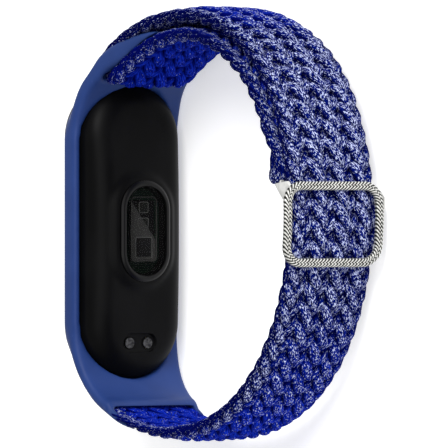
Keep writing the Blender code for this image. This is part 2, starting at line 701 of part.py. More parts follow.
def make_sensor(mat):
    """Raised optical sensor: bezel, window, board, two emitters, photodiode and light barrier."""
    outline = {"straight": SENSOR_STRAIGHT}
    seat_half = SENSOR_HALF_WIDTH - SENSOR_BEZEL
    opening_half = seat_half - 0.4
    bezel_back = BACK_Y - 0.77
    bezel_levels = (
        (bezel_back, SENSOR_HALF_WIDTH), (bezel_back - 0.15, SENSOR_HALF_WIDTH),
        (SENSOR_Y, SENSOR_HALF_WIDTH - 0.25),
    )
    bezel = pill_stack("sensor_bezel", bezel_levels, mat["black_shell"], **outline)
    collar = ((bezel_back - 0.1, SENSOR_COLLAR_HALF_WIDTH), (BACK_Y + 0.5, SENSOR_COLLAR_HALF_WIDTH))
    combine(bezel, pill_stack("bezel_collar", collar, mat["black_shell"], **outline), "UNION")
    opening = ((SENSOR_Y - 1, opening_half), (BACK_Y + 2, opening_half))
    combine(bezel, pill_stack("bezel_opening", opening, mat["black_shell"], **outline))
    seat = ((SENSOR_Y - 1, seat_half), (SENSOR_Y + 0.65, seat_half))
    combine(bezel, pill_stack("window_seat", seat, mat["black_shell"], **outline))
    window = ((SENSOR_Y + 0.2, seat_half - 0.12), (SENSOR_Y + 0.5, seat_half - 0.12))
    pill_stack("sensor_window", window, mat["sensor_glass"], **outline)
    chip_y = SENSOR_Y + 1.0
    board = (CAPSULE_X, SENSOR_Y + 1.5, MID_Z)
    block("sensor_board", board, (9.6, 0.3, 4.6), mat["board"], 0.06)
    block("emitter_upper", (CAPSULE_X + 3.7, chip_y, MID_Z + 0.2), (1.5, 0.5, 1.7), mat["led"], 0.08)
    block("emitter_middle", (CAPSULE_X + 1.3, chip_y, MID_Z + 0.3), (1.4, 0.5, 2.0), mat["led"], 0.08)
    block("light_barrier", (CAPSULE_X - 0.1, chip_y, MID_Z), (0.6, 0.6, 4.2), mat["chip"], 0.06)
    block("photodiode", (CAPSULE_X - 2.6, chip_y, MID_Z), (3.3, 0.5, 3.1), mat["photodiode"], 0.08)


def make_contacts(mat):
    """Two charging contacts, each pressed out through the shell by a leaf spring."""
    pin_end_y = CONTACT_FACE_Y + 1.0
    for side, word in ((1, "left"), (-1, "right")):
        contact_pin("contact_" + word, side, CONTACT_RADIUS, CONTACT_FACE_Y, pin_end_y, mat["steel"])
        centre = (CONTACT_X, CONTACT_FACE_Y + 1.3, MID_Z + side * CONTACT_SPACING / 2)
        block("contact_spring_" + word, centre, (2.4, 0.3, 1.2), mat["gold"], 0.06)


def make_motor(mat):
    """Coin vibration motor: a round can with a lid gap, a shaft and a half-disc weight that spins."""
    def disc(name, low_y, high_y, radius, material, segments=32):
        return rod(name, (MOTOR_X, low_y, MID_Z), (MOTOR_X, high_y, MID_Z), radius, material, segments)

    half_depth = 1.3
    can = disc("motor_case", MOTOR_Y - half_depth, MOTOR_Y + half_depth, MOTOR_RADIUS, mat["steel"])
    combine(can, disc("bore", MOTOR_Y - half_depth + 0.3, MOTOR_Y + 3, MOTOR_RADIUS - 0.3, mat["steel"]))
    lid_y = MOTOR_Y + half_depth - 0.15
    disc("motor_lid", lid_y - 0.1, lid_y + 0.1, MOTOR_RADIUS - 0.4, mat["steel"])
    disc("motor_shaft", MOTOR_Y - 0.9, MOTOR_Y + 0.85, 0.35, mat["steel"], 16)
    weight = disc("motor_weight", MOTOR_Y - 0.7, MOTOR_Y + 0.7, MOTOR_RADIUS - 0.6, mat["tungsten"])
    cut = block("half", (MOTOR_X - 3.4, MOTOR_Y, MID_Z), (5.2, 4.0, 12.0), mat["tungsten"], 0)
    combine(weight, cut)
    combine(weight, disc("shaft_hole", MOTOR_Y - 2, MOTOR_Y + 2, 0.45, mat["tungsten"], 16))
    return weight


# ---- assembly --------------------------------------------------------------


def set_origin(obj, point):
    """Moves an object's origin to a point given in metres without moving its mesh."""
    obj.data.transform(Matrix.Translation(-Vector(point)))
    obj.location = point


def make_empty(name, point):
    empty = bpy.data.objects.new(name, None)
    empty.location = point
    bpy.context.scene.collection.objects.link(empty)
    return empty


def parent_to(empty, objects):
    """Hangs objects on an empty, keeping their meshes where they are."""
    for obj in objects:
        set_origin(obj, Vector(empty.location))
        obj.parent = empty
        obj.location = (0, 0, 0)


def main():
    clear_scene()
    mat = make_materials()
    make_cradle(mat)
    end_loop = make_strap(mat)
    tack = make_bartack(mat)
    frame, pin = make_buckle(mat)
    buckle_axis = make_empty("buckle_axis", Vector((*BUCKLE_ARC_CENTRE, MID_Z)) * MM)
    parent_to(buckle_axis, (frame, pin, end_loop, tack))

    known = set(bpy.data.objects)
    make_shell(mat)
    make_front(mat)
    make_electronics(mat)
    make_sensor(mat)
    make_contacts(mat)
    weight = make_motor(mat)
    capsule = [obj for obj in bpy.data.objects if obj not in known and obj is not weight]
    capsule_axis = make_empty("capsule_axis", Vector((CAPSULE_X, BACK_Y, MID_Z)) * MM)
    parent_to(capsule_axis, capsule)
    set_origin(weight, Vector((MOTOR_X, MOTOR_Y, MID_Z)) * MM)


main()
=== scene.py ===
"""Looks of the fitness tracker band: braid, silicone, capsule, buckle, light and camera.

Lengths are in millimetres, as in the part's source, and MM turns them into metres, which the camera and the
lights use. +X runs along the capsule's long axis, +Y from the buckle to the display and +Z across the band.
"""

import math

import bmesh
import bpy
import numpy as np
from mathutils import Matrix, Vector


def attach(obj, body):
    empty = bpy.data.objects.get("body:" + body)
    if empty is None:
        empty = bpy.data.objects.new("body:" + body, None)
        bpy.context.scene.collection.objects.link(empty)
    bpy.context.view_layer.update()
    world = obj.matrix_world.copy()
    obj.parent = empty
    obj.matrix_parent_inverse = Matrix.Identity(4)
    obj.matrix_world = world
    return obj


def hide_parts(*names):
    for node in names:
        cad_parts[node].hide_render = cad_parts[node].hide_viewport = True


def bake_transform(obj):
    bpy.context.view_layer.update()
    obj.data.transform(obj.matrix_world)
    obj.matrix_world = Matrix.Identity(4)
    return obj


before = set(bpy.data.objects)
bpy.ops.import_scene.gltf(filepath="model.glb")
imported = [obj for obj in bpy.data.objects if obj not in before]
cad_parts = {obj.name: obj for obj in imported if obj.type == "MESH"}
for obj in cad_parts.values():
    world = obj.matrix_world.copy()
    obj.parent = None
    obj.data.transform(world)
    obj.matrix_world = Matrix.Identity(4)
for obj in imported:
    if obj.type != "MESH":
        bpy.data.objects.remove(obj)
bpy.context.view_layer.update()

MM = 0.001

# ---- dimensions repeated from the part -------------------------------------

MID_Z = 10.0
STRAP_THICKNESS = 2.2
STRAP_HALF_WIDTH = 7.6
LAYER_GAP = 0.2
POCKET_END_THICKNESS = 1.0
BUCKLE_ARC_CENTRE = np.array((1.46, 7.0))
BUCKLE_ARC_RADIUS = 37.1
UPPER_ARCS = ((BUCKLE_ARC_RADIUS, 23.0), (27.2, 47.4), (35.1, 54.2))
LOWER_ARCS = ((BUCKLE_ARC_RADIUS, 24.0), (32.6, 76.0), (44.0, 17.0))
POCKET_TAPER_ANGLES = (85.0, 111.0)
FOLD_RADIUS = 1.75
PARALLEL_ANGLE = 75.0
STRETCH_ANGLES = (16.6, 48.0)
END_LOOP_HALF_WIDTH = 6.9
BARTACK_ANGLE = 13.2

BUCKLE_ANGLE = -2.3
BUCKLE_HALF_WIDTH = 9.2
BUCKLE_BAR_DEPTH = 1.1
BUCKLE_CLEARANCE = 0.12
PIN_ANGLE = 9.8
PIN_RADIUS = 0.5
EAR_THICKNESS = 0.55
EAR_CLEARANCE = 0.15

CAPSULE_X = -1.1
PILL_STRAIGHT = 14.45
BACK_Y = 20.82
SENSOR_Y = 19.7
FRONT_Y = 31.3
REAR_HALF_WIDTH = 8.6
FLANGE_HALF_WIDTH = 9.05
SHOULDER_RADIUS = 3.6
FLANGE_Y = 26.4
GLASS_SEAT_Y = 28.3
GLASS_BACK_Y = 28.95
SHELL_WALL = 0.9
BACK_BOW = 0.8
BOW_HALF_LENGTH = 17.5
BOW_END_Y = 24.4
SENSOR_HALF_WIDTH = 4.6
SENSOR_STRAIGHT = 3.3
SENSOR_BEZEL = 0.8
SENSOR_COLLAR_HALF_WIDTH = 4.0
CONTACT_X = -18.6
CONTACT_SPACING = 3.4
CONTACT_RADIUS = 0.85
CONTACT_RECESS_HALF = 1.5
CONTACT_FACE_Y = 21.9

# ---- braid -----------------------------------------------------------------

STRANDS = 17
COLUMNS = 8
LEAF_PITCH = 3.1
LATTICE_HALF_WIDTH = 7.9
EDGE_ROUNDING = 0.976
TURN_SOFTNESS = 0.04
LEAF_BIAS = 0.42
LEAF_SHARPNESS = 0.7
STRAND_LIFT = 0.29
WOBBLE = 0.05
WOBBLE_KNOTS = 40
CROWN = 0.32
STRAND_WIDTH = 1.72
STRAND_SIDES = 14
STRAND_STEP = 0.36
PLIES = 5
PLY_PITCH = 6.5
PLY_DEPTH = 0.05

# Straight elastic yarns inside the braid, which close the pinholes between its strands. Their pitch is in
# columns, and a new row of points comes each time that the strap has turned this far.
CORE_HALF_WIDTH = 0.54
CORE_HALF_THICKNESS = 0.16
CORE_SIDES = 4
CORE_PITCH = 0.5
CORE_TURN = math.radians(4.5)

# The strap's outer layer hangs a little low across the band and its inner layer a little high.
OUTER_MID_Z = MID_Z - 0.25
INNER_MID_Z = MID_Z + 0.35
INNER_SAG = 0.55
UPPER_FLARE = 0.75
UPPER_FLARE_ANGLES = (96, 110)
LOWER_FLARE = 0.4
LOWER_FLARE_ANGLES = (76, 92)
WINDOW_BULGE = 0.4
WINDOW_ANGLE = 10.5
FOLD_HALF_WIDTH = 6.6
LOOP_THICKNESS = 0.85
LOOP_HALF_WIDTH = 7.6
LOOP_RADIUS = PIN_RADIUS + LOOP_THICKNESS / 2
LOOP_BLEND_ANGLES = (14.0, 21.0)
LOOP_RETURN_ANGLE = 19.5
LOOP_RETURN_DEPTH = 0.3

# Painted light along the strap, which sets how much pale yarn shows: each fade is the share that it loses
# between two angles from the buckle, painted shade towards the bottom and the top.
LOWER_PAINTED_SHADE_FADES = ((0.2, 12, 45), (0.52, 48, 82))
UPPER_PAINTED_SHADE_FADES = ((0.24, 50, 80),)
# Painted light on the fold, on the inner layer's wrist side, where it is painted shade near the fold that
# lifts towards the pin, and in the end loop.
FOLD_PAINTED_LIGHT = 0.65
INNER_PAINTED_LIGHT = 0.1
INNER_PAINTED_LIGHT_GAIN = 0.55
INNER_PAINTED_LIGHT_ANGLES = (60, 100)
LOOP_PAINTED_LIGHT = 0.5
EDGE_PAINTED_LIGHT = 0.8
EDGE_PAINTED_LIGHT_BAND = (4.5, 6.5)


# ---- node materials --------------------------------------------------------


class Nodes:
    """A short way to write a material's nodes: each call adds one node and links what it is given."""

    def __init__(self, name):
        self.material = bpy.data.materials.new(name)
        self.material.use_nodes = True
        self.tree = self.material.node_tree
        self.tree.nodes.clear()
        self.output = self.tree.nodes.new("ShaderNodeOutputMaterial")

    def add(self, kind, inputs=(), **settings):
        node = self.tree.nodes.new("ShaderNode" + kind)
        for key, value in settings.items():
            setattr(node, key, value)
        for key, value in dict(inputs).items():
            self.give(node.inputs[key], value)
        return node

    def give(self, socket, value):
        if isinstance(value, bpy.types.NodeSocket):
            self.tree.links.new(value, socket)
        elif isinstance(value, bpy.types.Node):
            self.tree.links.new(value.outputs[0], socket)
        else:
            socket.default_value = value

    def math(self, operation, a, b):
        return self.add("Math", {0: a, 1: b}, operation=operation).outputs[0]

    def plus(self, a, b):
        return self.math("ADD", a, b)

    def minus(self, a, b):
        return self.math("SUBTRACT", a, b)

    def times(self, a, b):
        return self.math("MULTIPLY", a, b)

    def ramp(self, value, low, high):
        """0 below low, 1 above high, smooth between."""
        node = self.add("MapRange", {"Value": value, "From Min": low, "From Max": high})
        node.interpolation_type = "SMOOTHSTEP"
        return node.outputs["Result"]

    def mix(self, factor, a, b):
        node = self.add("Mix", {"Factor": factor}, data_type="RGBA")
        self.give(node.inputs["A"], a if not isinstance(a, tuple) else (*a, 1.0))
        self.give(node.inputs["B"], b if not isinstance(b, tuple) else (*b, 1.0))
        return node.outputs["Result"]

    def noise(self, vector, scale, detail=2.0, roughness=0.5):
        node = self.add("TexNoise", {"Scale": scale, "Detail": detail, "Roughness": roughness})
        self.give(node.inputs["Vector"], vector)
        return node.outputs["Fac"]

    def place(self, vector, rotation=0.0, scale=(1.0, 1.0, 1.0)):
        node = self.add("Mapping", {"Rotation": (0.0, 0.0, math.radians(rotation)), "Scale": scale})
        self.give(node.inputs["Vector"], vector)
        return node.outputs["Vector"]

    def bump(self, height, distance, strength):
        node = self.add("Bump", {"Height": height, "Distance": distance, "Strength": strength})
        return node.outputs["Normal"]

    def finish(self, **inputs):
        shader = self.add("BsdfPrincipled")
        for key, value in inputs.items():
            if isinstance(value, tuple) and len(value) == 3:
                value = (*value, 1.0)
            self.give(shader.inputs[key.replace("_", " ")], value)
        self.tree.links.new(shader.outputs[0], self.output.inputs["Surface"])
        return self.material

    def metres(self):
        return self.add("TexCoord").outputs["Object"]


def yarn_material(name, deep, body, painted_shade_body, pale, amount):
    """Heathered twisted yarn: pale filaments in short curved dashes over blue, from the strand's own UV. The
    dashes are partly heather and partly painted highlight.

    An attribute of painted light sets how many of them show; where it is low, in painted shade, the blue is
    fuller. A crest attribute paints shade on the strands' flanks and where they dive, and more pale on their
    tops."""
    n = Nodes(name)
    uv = n.add("UVMap", uv_map="yarn").outputs[0]
    painted_light = n.add("Attribute", attribute_name="painted_light").outputs["Fac"]
    crest = n.add("Attribute", attribute_name="crest").outputs["Fac"]
    patch = n.noise(uv, 0.55, 1.0)
    twisted = n.noise(n.place(uv, 34.0, (2.4, 6.4, 1.0)), 1.0, 1.0)
    straight = n.noise(n.place(uv, -14.0, (2.4, 6.4, 1.0)), 1.0, 1.0)
    pick = n.ramp(patch, 0.42, 0.58)
    dash = n.plus(n.times(twisted, pick), n.times(straight, n.minus(1.0, pick)))
    breaks = n.noise(n.place(uv, 60.0, (2.2, 1.4, 1.0)), 1.1, 1.0)
    share = n.times(n.minus(breaks, 0.5), 0.35)
    # More pale on the crests: painted highlight.
    lifted = n.plus(n.plus(dash, share), n.times(crest, 0.16))
    # The painted light sets how many pale filaments show: more where lit, fewer in painted shade.
    edge = n.minus(0.872, n.times(painted_light, amount))
    pale_yarn_and_painted_light = n.ramp(n.minus(lifted, edge), -0.012, 0.04)
    tone = n.noise(n.place(uv, 20.0, (0.9, 3.6, 1.0)), 1.3, 2.0)
    # In painted shade, where the painted light is low, the blue is fuller and its deep blue lighter.
    in_painted_shade = n.ramp(painted_light, 1.0, 0.6)
    filled = n.mix(in_painted_shade, body, painted_shade_body)
    floor = n.mix(in_painted_shade, deep, tuple(3.2 * c for c in deep))
    ground = n.mix(n.ramp(tone, 0.36, 0.66), floor, filled)
    # Deep blue where the crest is low, on the flanks and where strands dive: painted shade.
    shade = n.mix(n.ramp(crest, 0.1, 0.8), floor, ground)
    colour = n.mix(pale_yarn_and_painted_light, shade, pale)
    height = n.plus(dash, n.times(pale_yarn_and_painted_light, 0.35))
    normal = n.bump(height, 0.00014, 0.9)
    rough = n.minus(0.72, n.times(pale_yarn_and_painted_light, 0.25))
    return n.finish(Base_Color=colour, Roughness=rough, Normal=normal, Specular_IOR_Level=0.02, IOR=1.3)


def silicone_material(name, colour, light):
    """Moulded silicone: satin, with a fine eggshell grain, faint clouds of tone and a few dust specks."""
    n = Nodes(name)
    at = n.metres()
    cloud = n.noise(at, 160.0, 3.0)
    speck = n.ramp(n.noise(at, 2600.0, 2.0), 0.70, 0.78)
    tone = n.mix(n.ramp(cloud, 0.3, 0.7), colour, light)
    dusted = n.mix(n.times(speck, 0.18), tone, (0.12, 0.17, 0.4))
    grain = n.noise(at, 3800.0, 3.0, 0.6)
    rough = n.plus(0.44, n.times(cloud, 0.14))
    return n.finish(Base_Color=dusted, Roughness=rough, Normal=n.bump(grain, 0.00002, 0.35),
                    Specular_IOR_Level=0.22)


def plastic_material(name, colour, light, roughness, specular=0.3, grain=0.25):
    """Moulded plastic with a fine spark-eroded grain, soft handling marks and slightly uneven gloss."""
    n = Nodes(name)
    at = n.metres()
    smear = n.noise(n.place(at, 25.0, (1.0, 1.0, 2.2)), 120.0, 3.0)
    fine = n.noise(at, 5200.0, 2.0, 0.6)
    tone = n.mix(n.ramp(smear, 0.35, 0.7), colour, light)
    rough = n.plus(roughness, n.times(n.minus(smear, 0.5), 0.12))
    return n.finish(Base_Color=tone, Roughness=rough, Normal=n.bump(fine, 0.000012, grain),
                    Specular_IOR_Level=specular)


def glass_material(name, colour, alpha, roughness=0.06, specular=0.5):
    """Dark cover glass with a faint wipe-mark haze in its gloss."""
    n = Nodes(name)
    at = n.metres()
    haze = n.noise(n.place(at, 40.0, (1.0, 2.5, 1.0)), 210.0, 3.0)
    rough = n.plus(roughness, n.times(haze, 0.07))
    tone = n.mix(haze, colour, tuple(1.6 * c for c in colour))
    return n.finish(Base_Color=tone, Roughness=rough, Alpha=alpha, Specular_IOR_Level=specular)


def metal_material(name, dark, light, roughness, stretch=(1, 1, 14), scale=900.0, metallic=1.0):
    """Metal with fine brushing along one axis and small stains."""
    n = Nodes(name)
    at = n.metres()
    brush = n.noise(n.place(at, 0.0, stretch), scale, 2.0)
    stain = n.noise(at, 420.0, 3.0)
    tone = n.mix(n.ramp(n.plus(brush, n.times(stain, 0.4)), 0.5, 0.9), dark, light)
    rough = n.plus(roughness, n.times(stain, 0.18))
    normal = n.bump(brush, 0.00001, 0.5)
    return n.finish(Base_Color=tone, Roughness=rough, Metallic=metallic, Normal=normal)


def rope_metal_material(name):
    """Plated frame: cream-white metal, with painted highlight on the ridges of its twist and painted shade,
    nearly black, in its grooves.
    """
    n = Nodes(name)
    at = n.metres()
    ridge = n.add("Attribute", attribute_name="ridge").outputs["Fac"]
    wear = n.noise(at, 1500.0, 3.0)
    # The ridge attribute gives painted highlight on the ridges and painted shade in the grooves, broken up
    # by wear.
    lift = n.ramp(n.plus(ridge, n.times(n.minus(wear, 0.5), 0.5)), 0.36, 0.78)
    tone = n.mix(lift, (0.006, 0.006, 0.004), (0.70, 0.70, 0.665))
    rough = n.minus(0.5, n.times(lift, 0.18))
    return n.finish(Base_Color=tone, Roughness=rough, Metallic=0.55, Normal=n.bump(wear, 0.00003, 0.5))


def board_material(name, colour, trace):
    """Circuit board or flex: a lacquer with fine tracks over it."""
    n = Nodes(name)
    at = n.metres()
    tracks = n.add("TexBrick", {"Scale": 900.0, "Mortar Size": 0.05, "Color1": (0, 0, 0, 1),
                                "Color2": (0.2, 0.2, 0.2, 1), "Mortar": (1, 1, 1, 1)})
    n.give(tracks.inputs["Vector"], n.place(at, 45.0))
    tone = n.mix(n.times(tracks.outputs["Color"], 0.7), colour, trace)
    return n.finish(Base_Color=tone, Roughness=0.45, Normal=n.bump(tracks.outputs["Color"], 0.00002, 0.6))


def thread_material(name, colour, light):
    """Polyester sewing thread: fine diagonal twist."""
    n = Nodes(name)
    uv = n.add("UVMap", uv_map="yarn").outputs[0]
    twist = n.noise(n.place(uv, 40.0, (1.2, 7.0, 1.0)), 1.0, 1.0)
    tone = n.mix(n.ramp(twist, 0.4, 0.62), colour, light)
    return n.finish(Base_Color=tone, Roughness=0.6, Normal=n.bump(twist, 0.00008, 0.8),
                    Sheen_Weight=0.3, Sheen_Roughness=0.5)


# ---- meshes ----------------------------------------------------------------


def make_object(name, vertices, faces, material, smooth_angle=40.0):
    """A mesh object from millimetre points."""
    mesh = bpy.data.meshes.new(name)
    points = np.asarray(vertices, float) * MM
    mesh.from_pydata(points.tolist(), [], faces)
    mesh.materials.append(material)
    mesh.update()
    obj = bpy.data.objects.new(name, mesh)
    bpy.context.scene.collection.objects.link(obj)
    face_out(obj)
    mesh.shade_smooth()
    if smooth_angle:
        mesh.set_sharp_from_angle(angle=math.radians(smooth_angle))
    return obj


def face_out(obj):
    bm = bmesh.new()
    bm.from_mesh(obj.data)
    bmesh.ops.recalc_face_normals(bm, faces=bm.faces)
    bm.to_mesh(obj.data)
    bm.free()


def add_attribute(obj, name, values):
    attribute = obj.data.attributes.new(name, "FLOAT", "POINT")
    attribute.data.foreach_set("value", np.asarray(values, np.float32).ravel())


def add_uv(obj, uv):
    """uv gives one pair for each vertex and quad corner, as a function of the face's vertex."""
    layer = obj.data.uv_layers.new(name="yarn")
    loops = np.zeros(len(obj.data.loops), np.int32)
    obj.data.loops.foreach_get("vertex_index", loops)
    layer.data.foreach_set("uv", np.asarray(uv, np.float32)[loops].ravel())


def read_points(obj):
    """The mesh's vertices in millimetres."""
    flat = np.zeros(3 * len(obj.data.vertices))
    obj.data.vertices.foreach_get("co", flat)
    return flat.reshape(-1, 3) / MM


def write_points(obj, points):
    obj.data.vertices.foreach_set("co", (points * MM).ravel())
    obj.data.update()


def apply_modifiers(obj):
    graph = bpy.context.evaluated_depsgraph_get()
    mesh = bpy.data.meshes.new_from_object(obj.evaluated_get(graph))
    obj.modifiers.clear()
    obj.data = mesh


def cut(obj, cutter):
    """Takes one closed object out of another."""
    modifier = obj.modifiers.new("cut", "BOOLEAN")
    modifier.operation = "DIFFERENCE"
    modifier.solver = "EXACT"
    modifier.object = cutter
    apply_modifiers(obj)
    bpy.data.objects.remove(cutter, do_unlink=True)


def soften(obj, width, segments=2, angle=35.0):
    """Rounds the edges that a cut left sharp."""
    modifier = obj.modifiers.new("round", "BEVEL")
    modifier.width = width * MM
    modifier.segments = segments
    modifier.limit_method = "ANGLE"
    modifier.angle_limit = math.radians(angle)
    modifier.use_clamp_overlap = True
    apply_modifiers(obj)
    obj.data.shade_smooth()
    obj.data.set_sharp_from_angle(angle=math.radians(50))


def tube_faces(rows, sides, closed=False):
    """Quads of a tube whose vertices are rows of sides points, with end caps if it is open."""
    faces = []
    for k in range(rows if closed else rows - 1):
        low, high = k * sides, ((k + 1) % rows) * sides
        for i in range(sides):
            j = (i + 1) % sides
            faces.append((low + i, low + j, high + j, high + i))
    if not closed:
        faces.append(tuple(range(sides)))
        faces.append(tuple(range((rows - 1) * sides, rows * sides)))
    return faces


def unit(vectors):
    return vectors / np.linalg.norm(vectors, axis=1, keepdims=True)


def square_to(tangent, vectors):
    """Unit vectors square to the tangents, as near as can be to the ones given."""
    return unit(vectors - np.sum(vectors * tangent, axis=1, keepdims=True) * tangent)


def path_length(points):
    return np.concatenate(([0.0], np.cumsum(np.linalg.norm(np.diff(points, axis=0), axis=1))))


def ring_angles(sides):
    return 2 * np.pi * np.arange(sides) / sides


def tube_uv(along, around):
    """UV of a tube's vertices, from a value for each row and one for each side."""
    rows = np.repeat(along[:, None], len(around), axis=1)
    return np.stack((rows, np.repeat(around[None, :], len(along), axis=0)), axis=2).reshape(-1, 2)


def round_yarn(centre, toward, radius, sides):
    """Vertices and UV of a round yarn along a centre line."""
    tangent = unit(np.gradient(centre, axis=0))
    normal = square_to(tangent, toward)
    aside = np.cross(tangent, normal)
    around = ring_angles(sides)
    across = np.cos(around)[None, :, None] * aside[:, None, :]
    up = np.sin(around)[None, :, None] * normal[:, None, :]
    points = centre[:, None, :] + radius * (across + up)
    return points.reshape(-1, 3), tube_uv(path_length(centre), around * radius)


# ---- the strap's line ------------------------------------------------------


def outward(angle, side=1):
    turn = math.radians(angle)
    return np.array((side * math.sin(turn), -math.cos(turn)))


def arc_centres(arcs, side):
    """Centre, radius and angle range of each arc in a tangent chain that starts at the buckle."""
    centre, angle, chain = BUCKLE_ARC_CENTRE, 0.0, []
    for k, (radius, sweep) in enumerate(arcs):
        if k:
            turn = math.radians(angle)
            centre = centre + (arcs[k - 1][0] - radius) * np.array((side * math.sin(turn), -math.cos(turn)))
        chain.append((centre, radius, angle, angle + sweep))
        angle += sweep
    return chain


def on_chain(arcs, side, angle, depth):
    """Point at a depth under the chain's outer face, and the outward normal there."""
    for centre, radius, _, high in arc_centres(arcs, side):
        if angle <= high + 1e-6:
            break
    normal = outward(angle, side)
    return centre + (radius - depth) * normal, normal


LAST_UPPER = sum(sweep for _, sweep in UPPER_ARCS)
LAST_LOWER = sum(sweep for _, sweep in LOWER_ARCS)


def smoothstep(value, low, high):
    t = np.clip((np.asarray(value, float) - low) / (high - low), 0.0, 1.0)
    return t * t * (3 - 2 * t)


def pocket_thickness(angle):
    start, end = POCKET_TAPER_ANGLES
    t = min(1.0, max(0.0, (angle - start) / (end - start)))
    return STRAP_THICKNESS + (POCKET_END_THICKNESS - STRAP_THICKNESS) * t


def inner_layer_depth(angle):
    parallel = 1.5 * STRAP_THICKNESS + LAYER_GAP
    at_fold = STRAP_THICKNESS / 2 + 2 * FOLD_RADIUS
    return parallel + (at_fold - parallel) * float(smoothstep(angle, PARALLEL_ANGLE, LAST_UPPER))


class Line:
    """Stations along the strap: point, face normal, half width, middle Z, thickness and painted light, which
    sets how much pale yarn shows.
    """

    def __init__(self):
        self.rows = []

    def add(self, point, normal, half_width, mid_z, thickness, painted_light):
        self.rows.append((*point, *normal, half_width, mid_z, thickness, painted_light))

    def build(self):
        table = np.array(self.rows)
        steps = np.hypot(*np.diff(table[:, :2], axis=0).T)
        keep = np.concatenate(([True], steps > 1e-4))
        self.table = table[keep]
        steps = np.hypot(*np.diff(self.table[:, :2], axis=0).T)
        self.s = np.concatenate(([0.0], np.cumsum(steps)))
        return self

    def at(self, s):
        return np.stack([np.interp(s, self.s, column) for column in self.table.T], axis=1)


def window_bulge(angle):
    """How far the fabric swells sideways where it shows through the buckle's window."""
    turn = (angle - BUCKLE_ANGLE) / WINDOW_ANGLE
    return WINDOW_BULGE * math.cos(math.pi / 2 * turn) ** 2 if abs(turn) < 1 else 0.0


# The painted light at an angle along the strap, after its fades.
def pale_yarn_and_painted_light(angle, fades):
    return 1.0 - sum(loss * float(smoothstep(angle, low, high)) for loss, low, high in fades)


def strap_line():
    """The whole strap, from the lower pocket over the buckle side and the top, round the fold, to the pin.

    Returns the line, and how far along it the fold's middle is."""
    line = Line()
    half = STRAP_HALF_WIDTH
    # Every station carries painted light: lit near the buckle, painted shade towards the bottom and the top,
    # across the fold and on the inner layer's wrist side.
    for angle in np.arange(LAST_LOWER, 0, -1.0):
        thickness = pocket_thickness(angle)
        point, normal = on_chain(LOWER_ARCS, -1, angle, thickness / 2)
        bulge = window_bulge(-angle)
        flare = LOWER_FLARE * float(smoothstep(angle, *LOWER_FLARE_ANGLES))
        line.add(point, normal, half + bulge + flare, OUTER_MID_Z - bulge + flare, thickness,
                 pale_yarn_and_painted_light(angle, LOWER_PAINTED_SHADE_FADES))
    for angle in np.arange(0, LAST_UPPER, 1.0):
        point, normal = on_chain(UPPER_ARCS, 1, angle, STRAP_THICKNESS / 2)
        bulge = window_bulge(angle)
        flare = UPPER_FLARE * float(smoothstep(angle, *UPPER_FLARE_ANGLES))
        line.add(point, normal, half + bulge + flare, OUTER_MID_Z - bulge, STRAP_THICKNESS,
                 pale_yarn_and_painted_light(angle, UPPER_PAINTED_SHADE_FADES))
    centre, radius, _, _ = arc_centres(UPPER_ARCS, 1)[-1]
    fold = centre + (radius - STRAP_THICKNESS / 2 - FOLD_RADIUS) * outward(LAST_UPPER)
    for turn in np.arange(0, 181, 10.0):
        normal = outward(LAST_UPPER + turn)
        t = turn / 180
        narrow = half + UPPER_FLARE * (1 - t) + (FOLD_HALF_WIDTH - half) * math.sin(math.pi * t)
        mid_z = OUTER_MID_Z + (INNER_MID_Z - OUTER_MID_Z) * t
        painted_light = FOLD_PAINTED_LIGHT + (INNER_PAINTED_LIGHT - FOLD_PAINTED_LIGHT) * t
        line.add(fold + FOLD_RADIUS * normal, normal, narrow, mid_z, STRAP_THICKNESS, painted_light)
        if turn == 90:
            fold_row = len(line.rows) - 1
    for angle in np.arange(LAST_UPPER - 1.0, PIN_ANGLE, -1.0):
        full = float(smoothstep(angle, *LOOP_BLEND_ANGLES))
        depth = inner_layer_depth(angle)
        depth = full * depth + (1 - full) * (inner_layer_depth(PIN_ANGLE) - LOOP_RADIUS)
        thickness = full * STRAP_THICKNESS + (1 - full) * LOOP_THICKNESS
        width = LOOP_HALF_WIDTH + (half - LOOP_HALF_WIDTH) * full
        sag = INNER_SAG * full * float(1 - smoothstep(angle, 60, 85))
        point, normal = on_chain(UPPER_ARCS, 1, angle, depth + sag)
        painted_light = INNER_PAINTED_LIGHT + INNER_PAINTED_LIGHT_GAIN * float(1 - smoothstep(angle, *INNER_PAINTED_LIGHT_ANGLES))
        line.add(point, -normal, width, INNER_MID_Z, thickness, painted_light)
    pin, _ = on_chain(UPPER_ARCS, 1, PIN_ANGLE, inner_layer_depth(PIN_ANGLE))
    for turn in np.arange(0, 181, 15.0):
        spoke = outward(PIN_ANGLE - turn)
        line.add(pin + LOOP_RADIUS * spoke, -spoke, LOOP_HALF_WIDTH, INNER_MID_Z, LOOP_THICKNESS, LOOP_PAINTED_LIGHT)
    for angle in np.arange(PIN_ANGLE + 1, LOOP_RETURN_ANGLE, 0.5):
        close = float(smoothstep(angle, PIN_ANGLE, LOOP_RETURN_ANGLE))
        depth = inner_layer_depth(angle) + LOOP_RADIUS + (LOOP_RETURN_DEPTH - LOOP_RADIUS) * close
        point, normal = on_chain(UPPER_ARCS, 1, angle, depth)
        line.add(point, normal, LOOP_HALF_WIDTH - 0.7 * close, INNER_MID_Z,
                 LOOP_THICKNESS * (1 - 0.6 * close), LOOP_PAINTED_LIGHT)
    line.build()
    return line, line.s[fold_row]


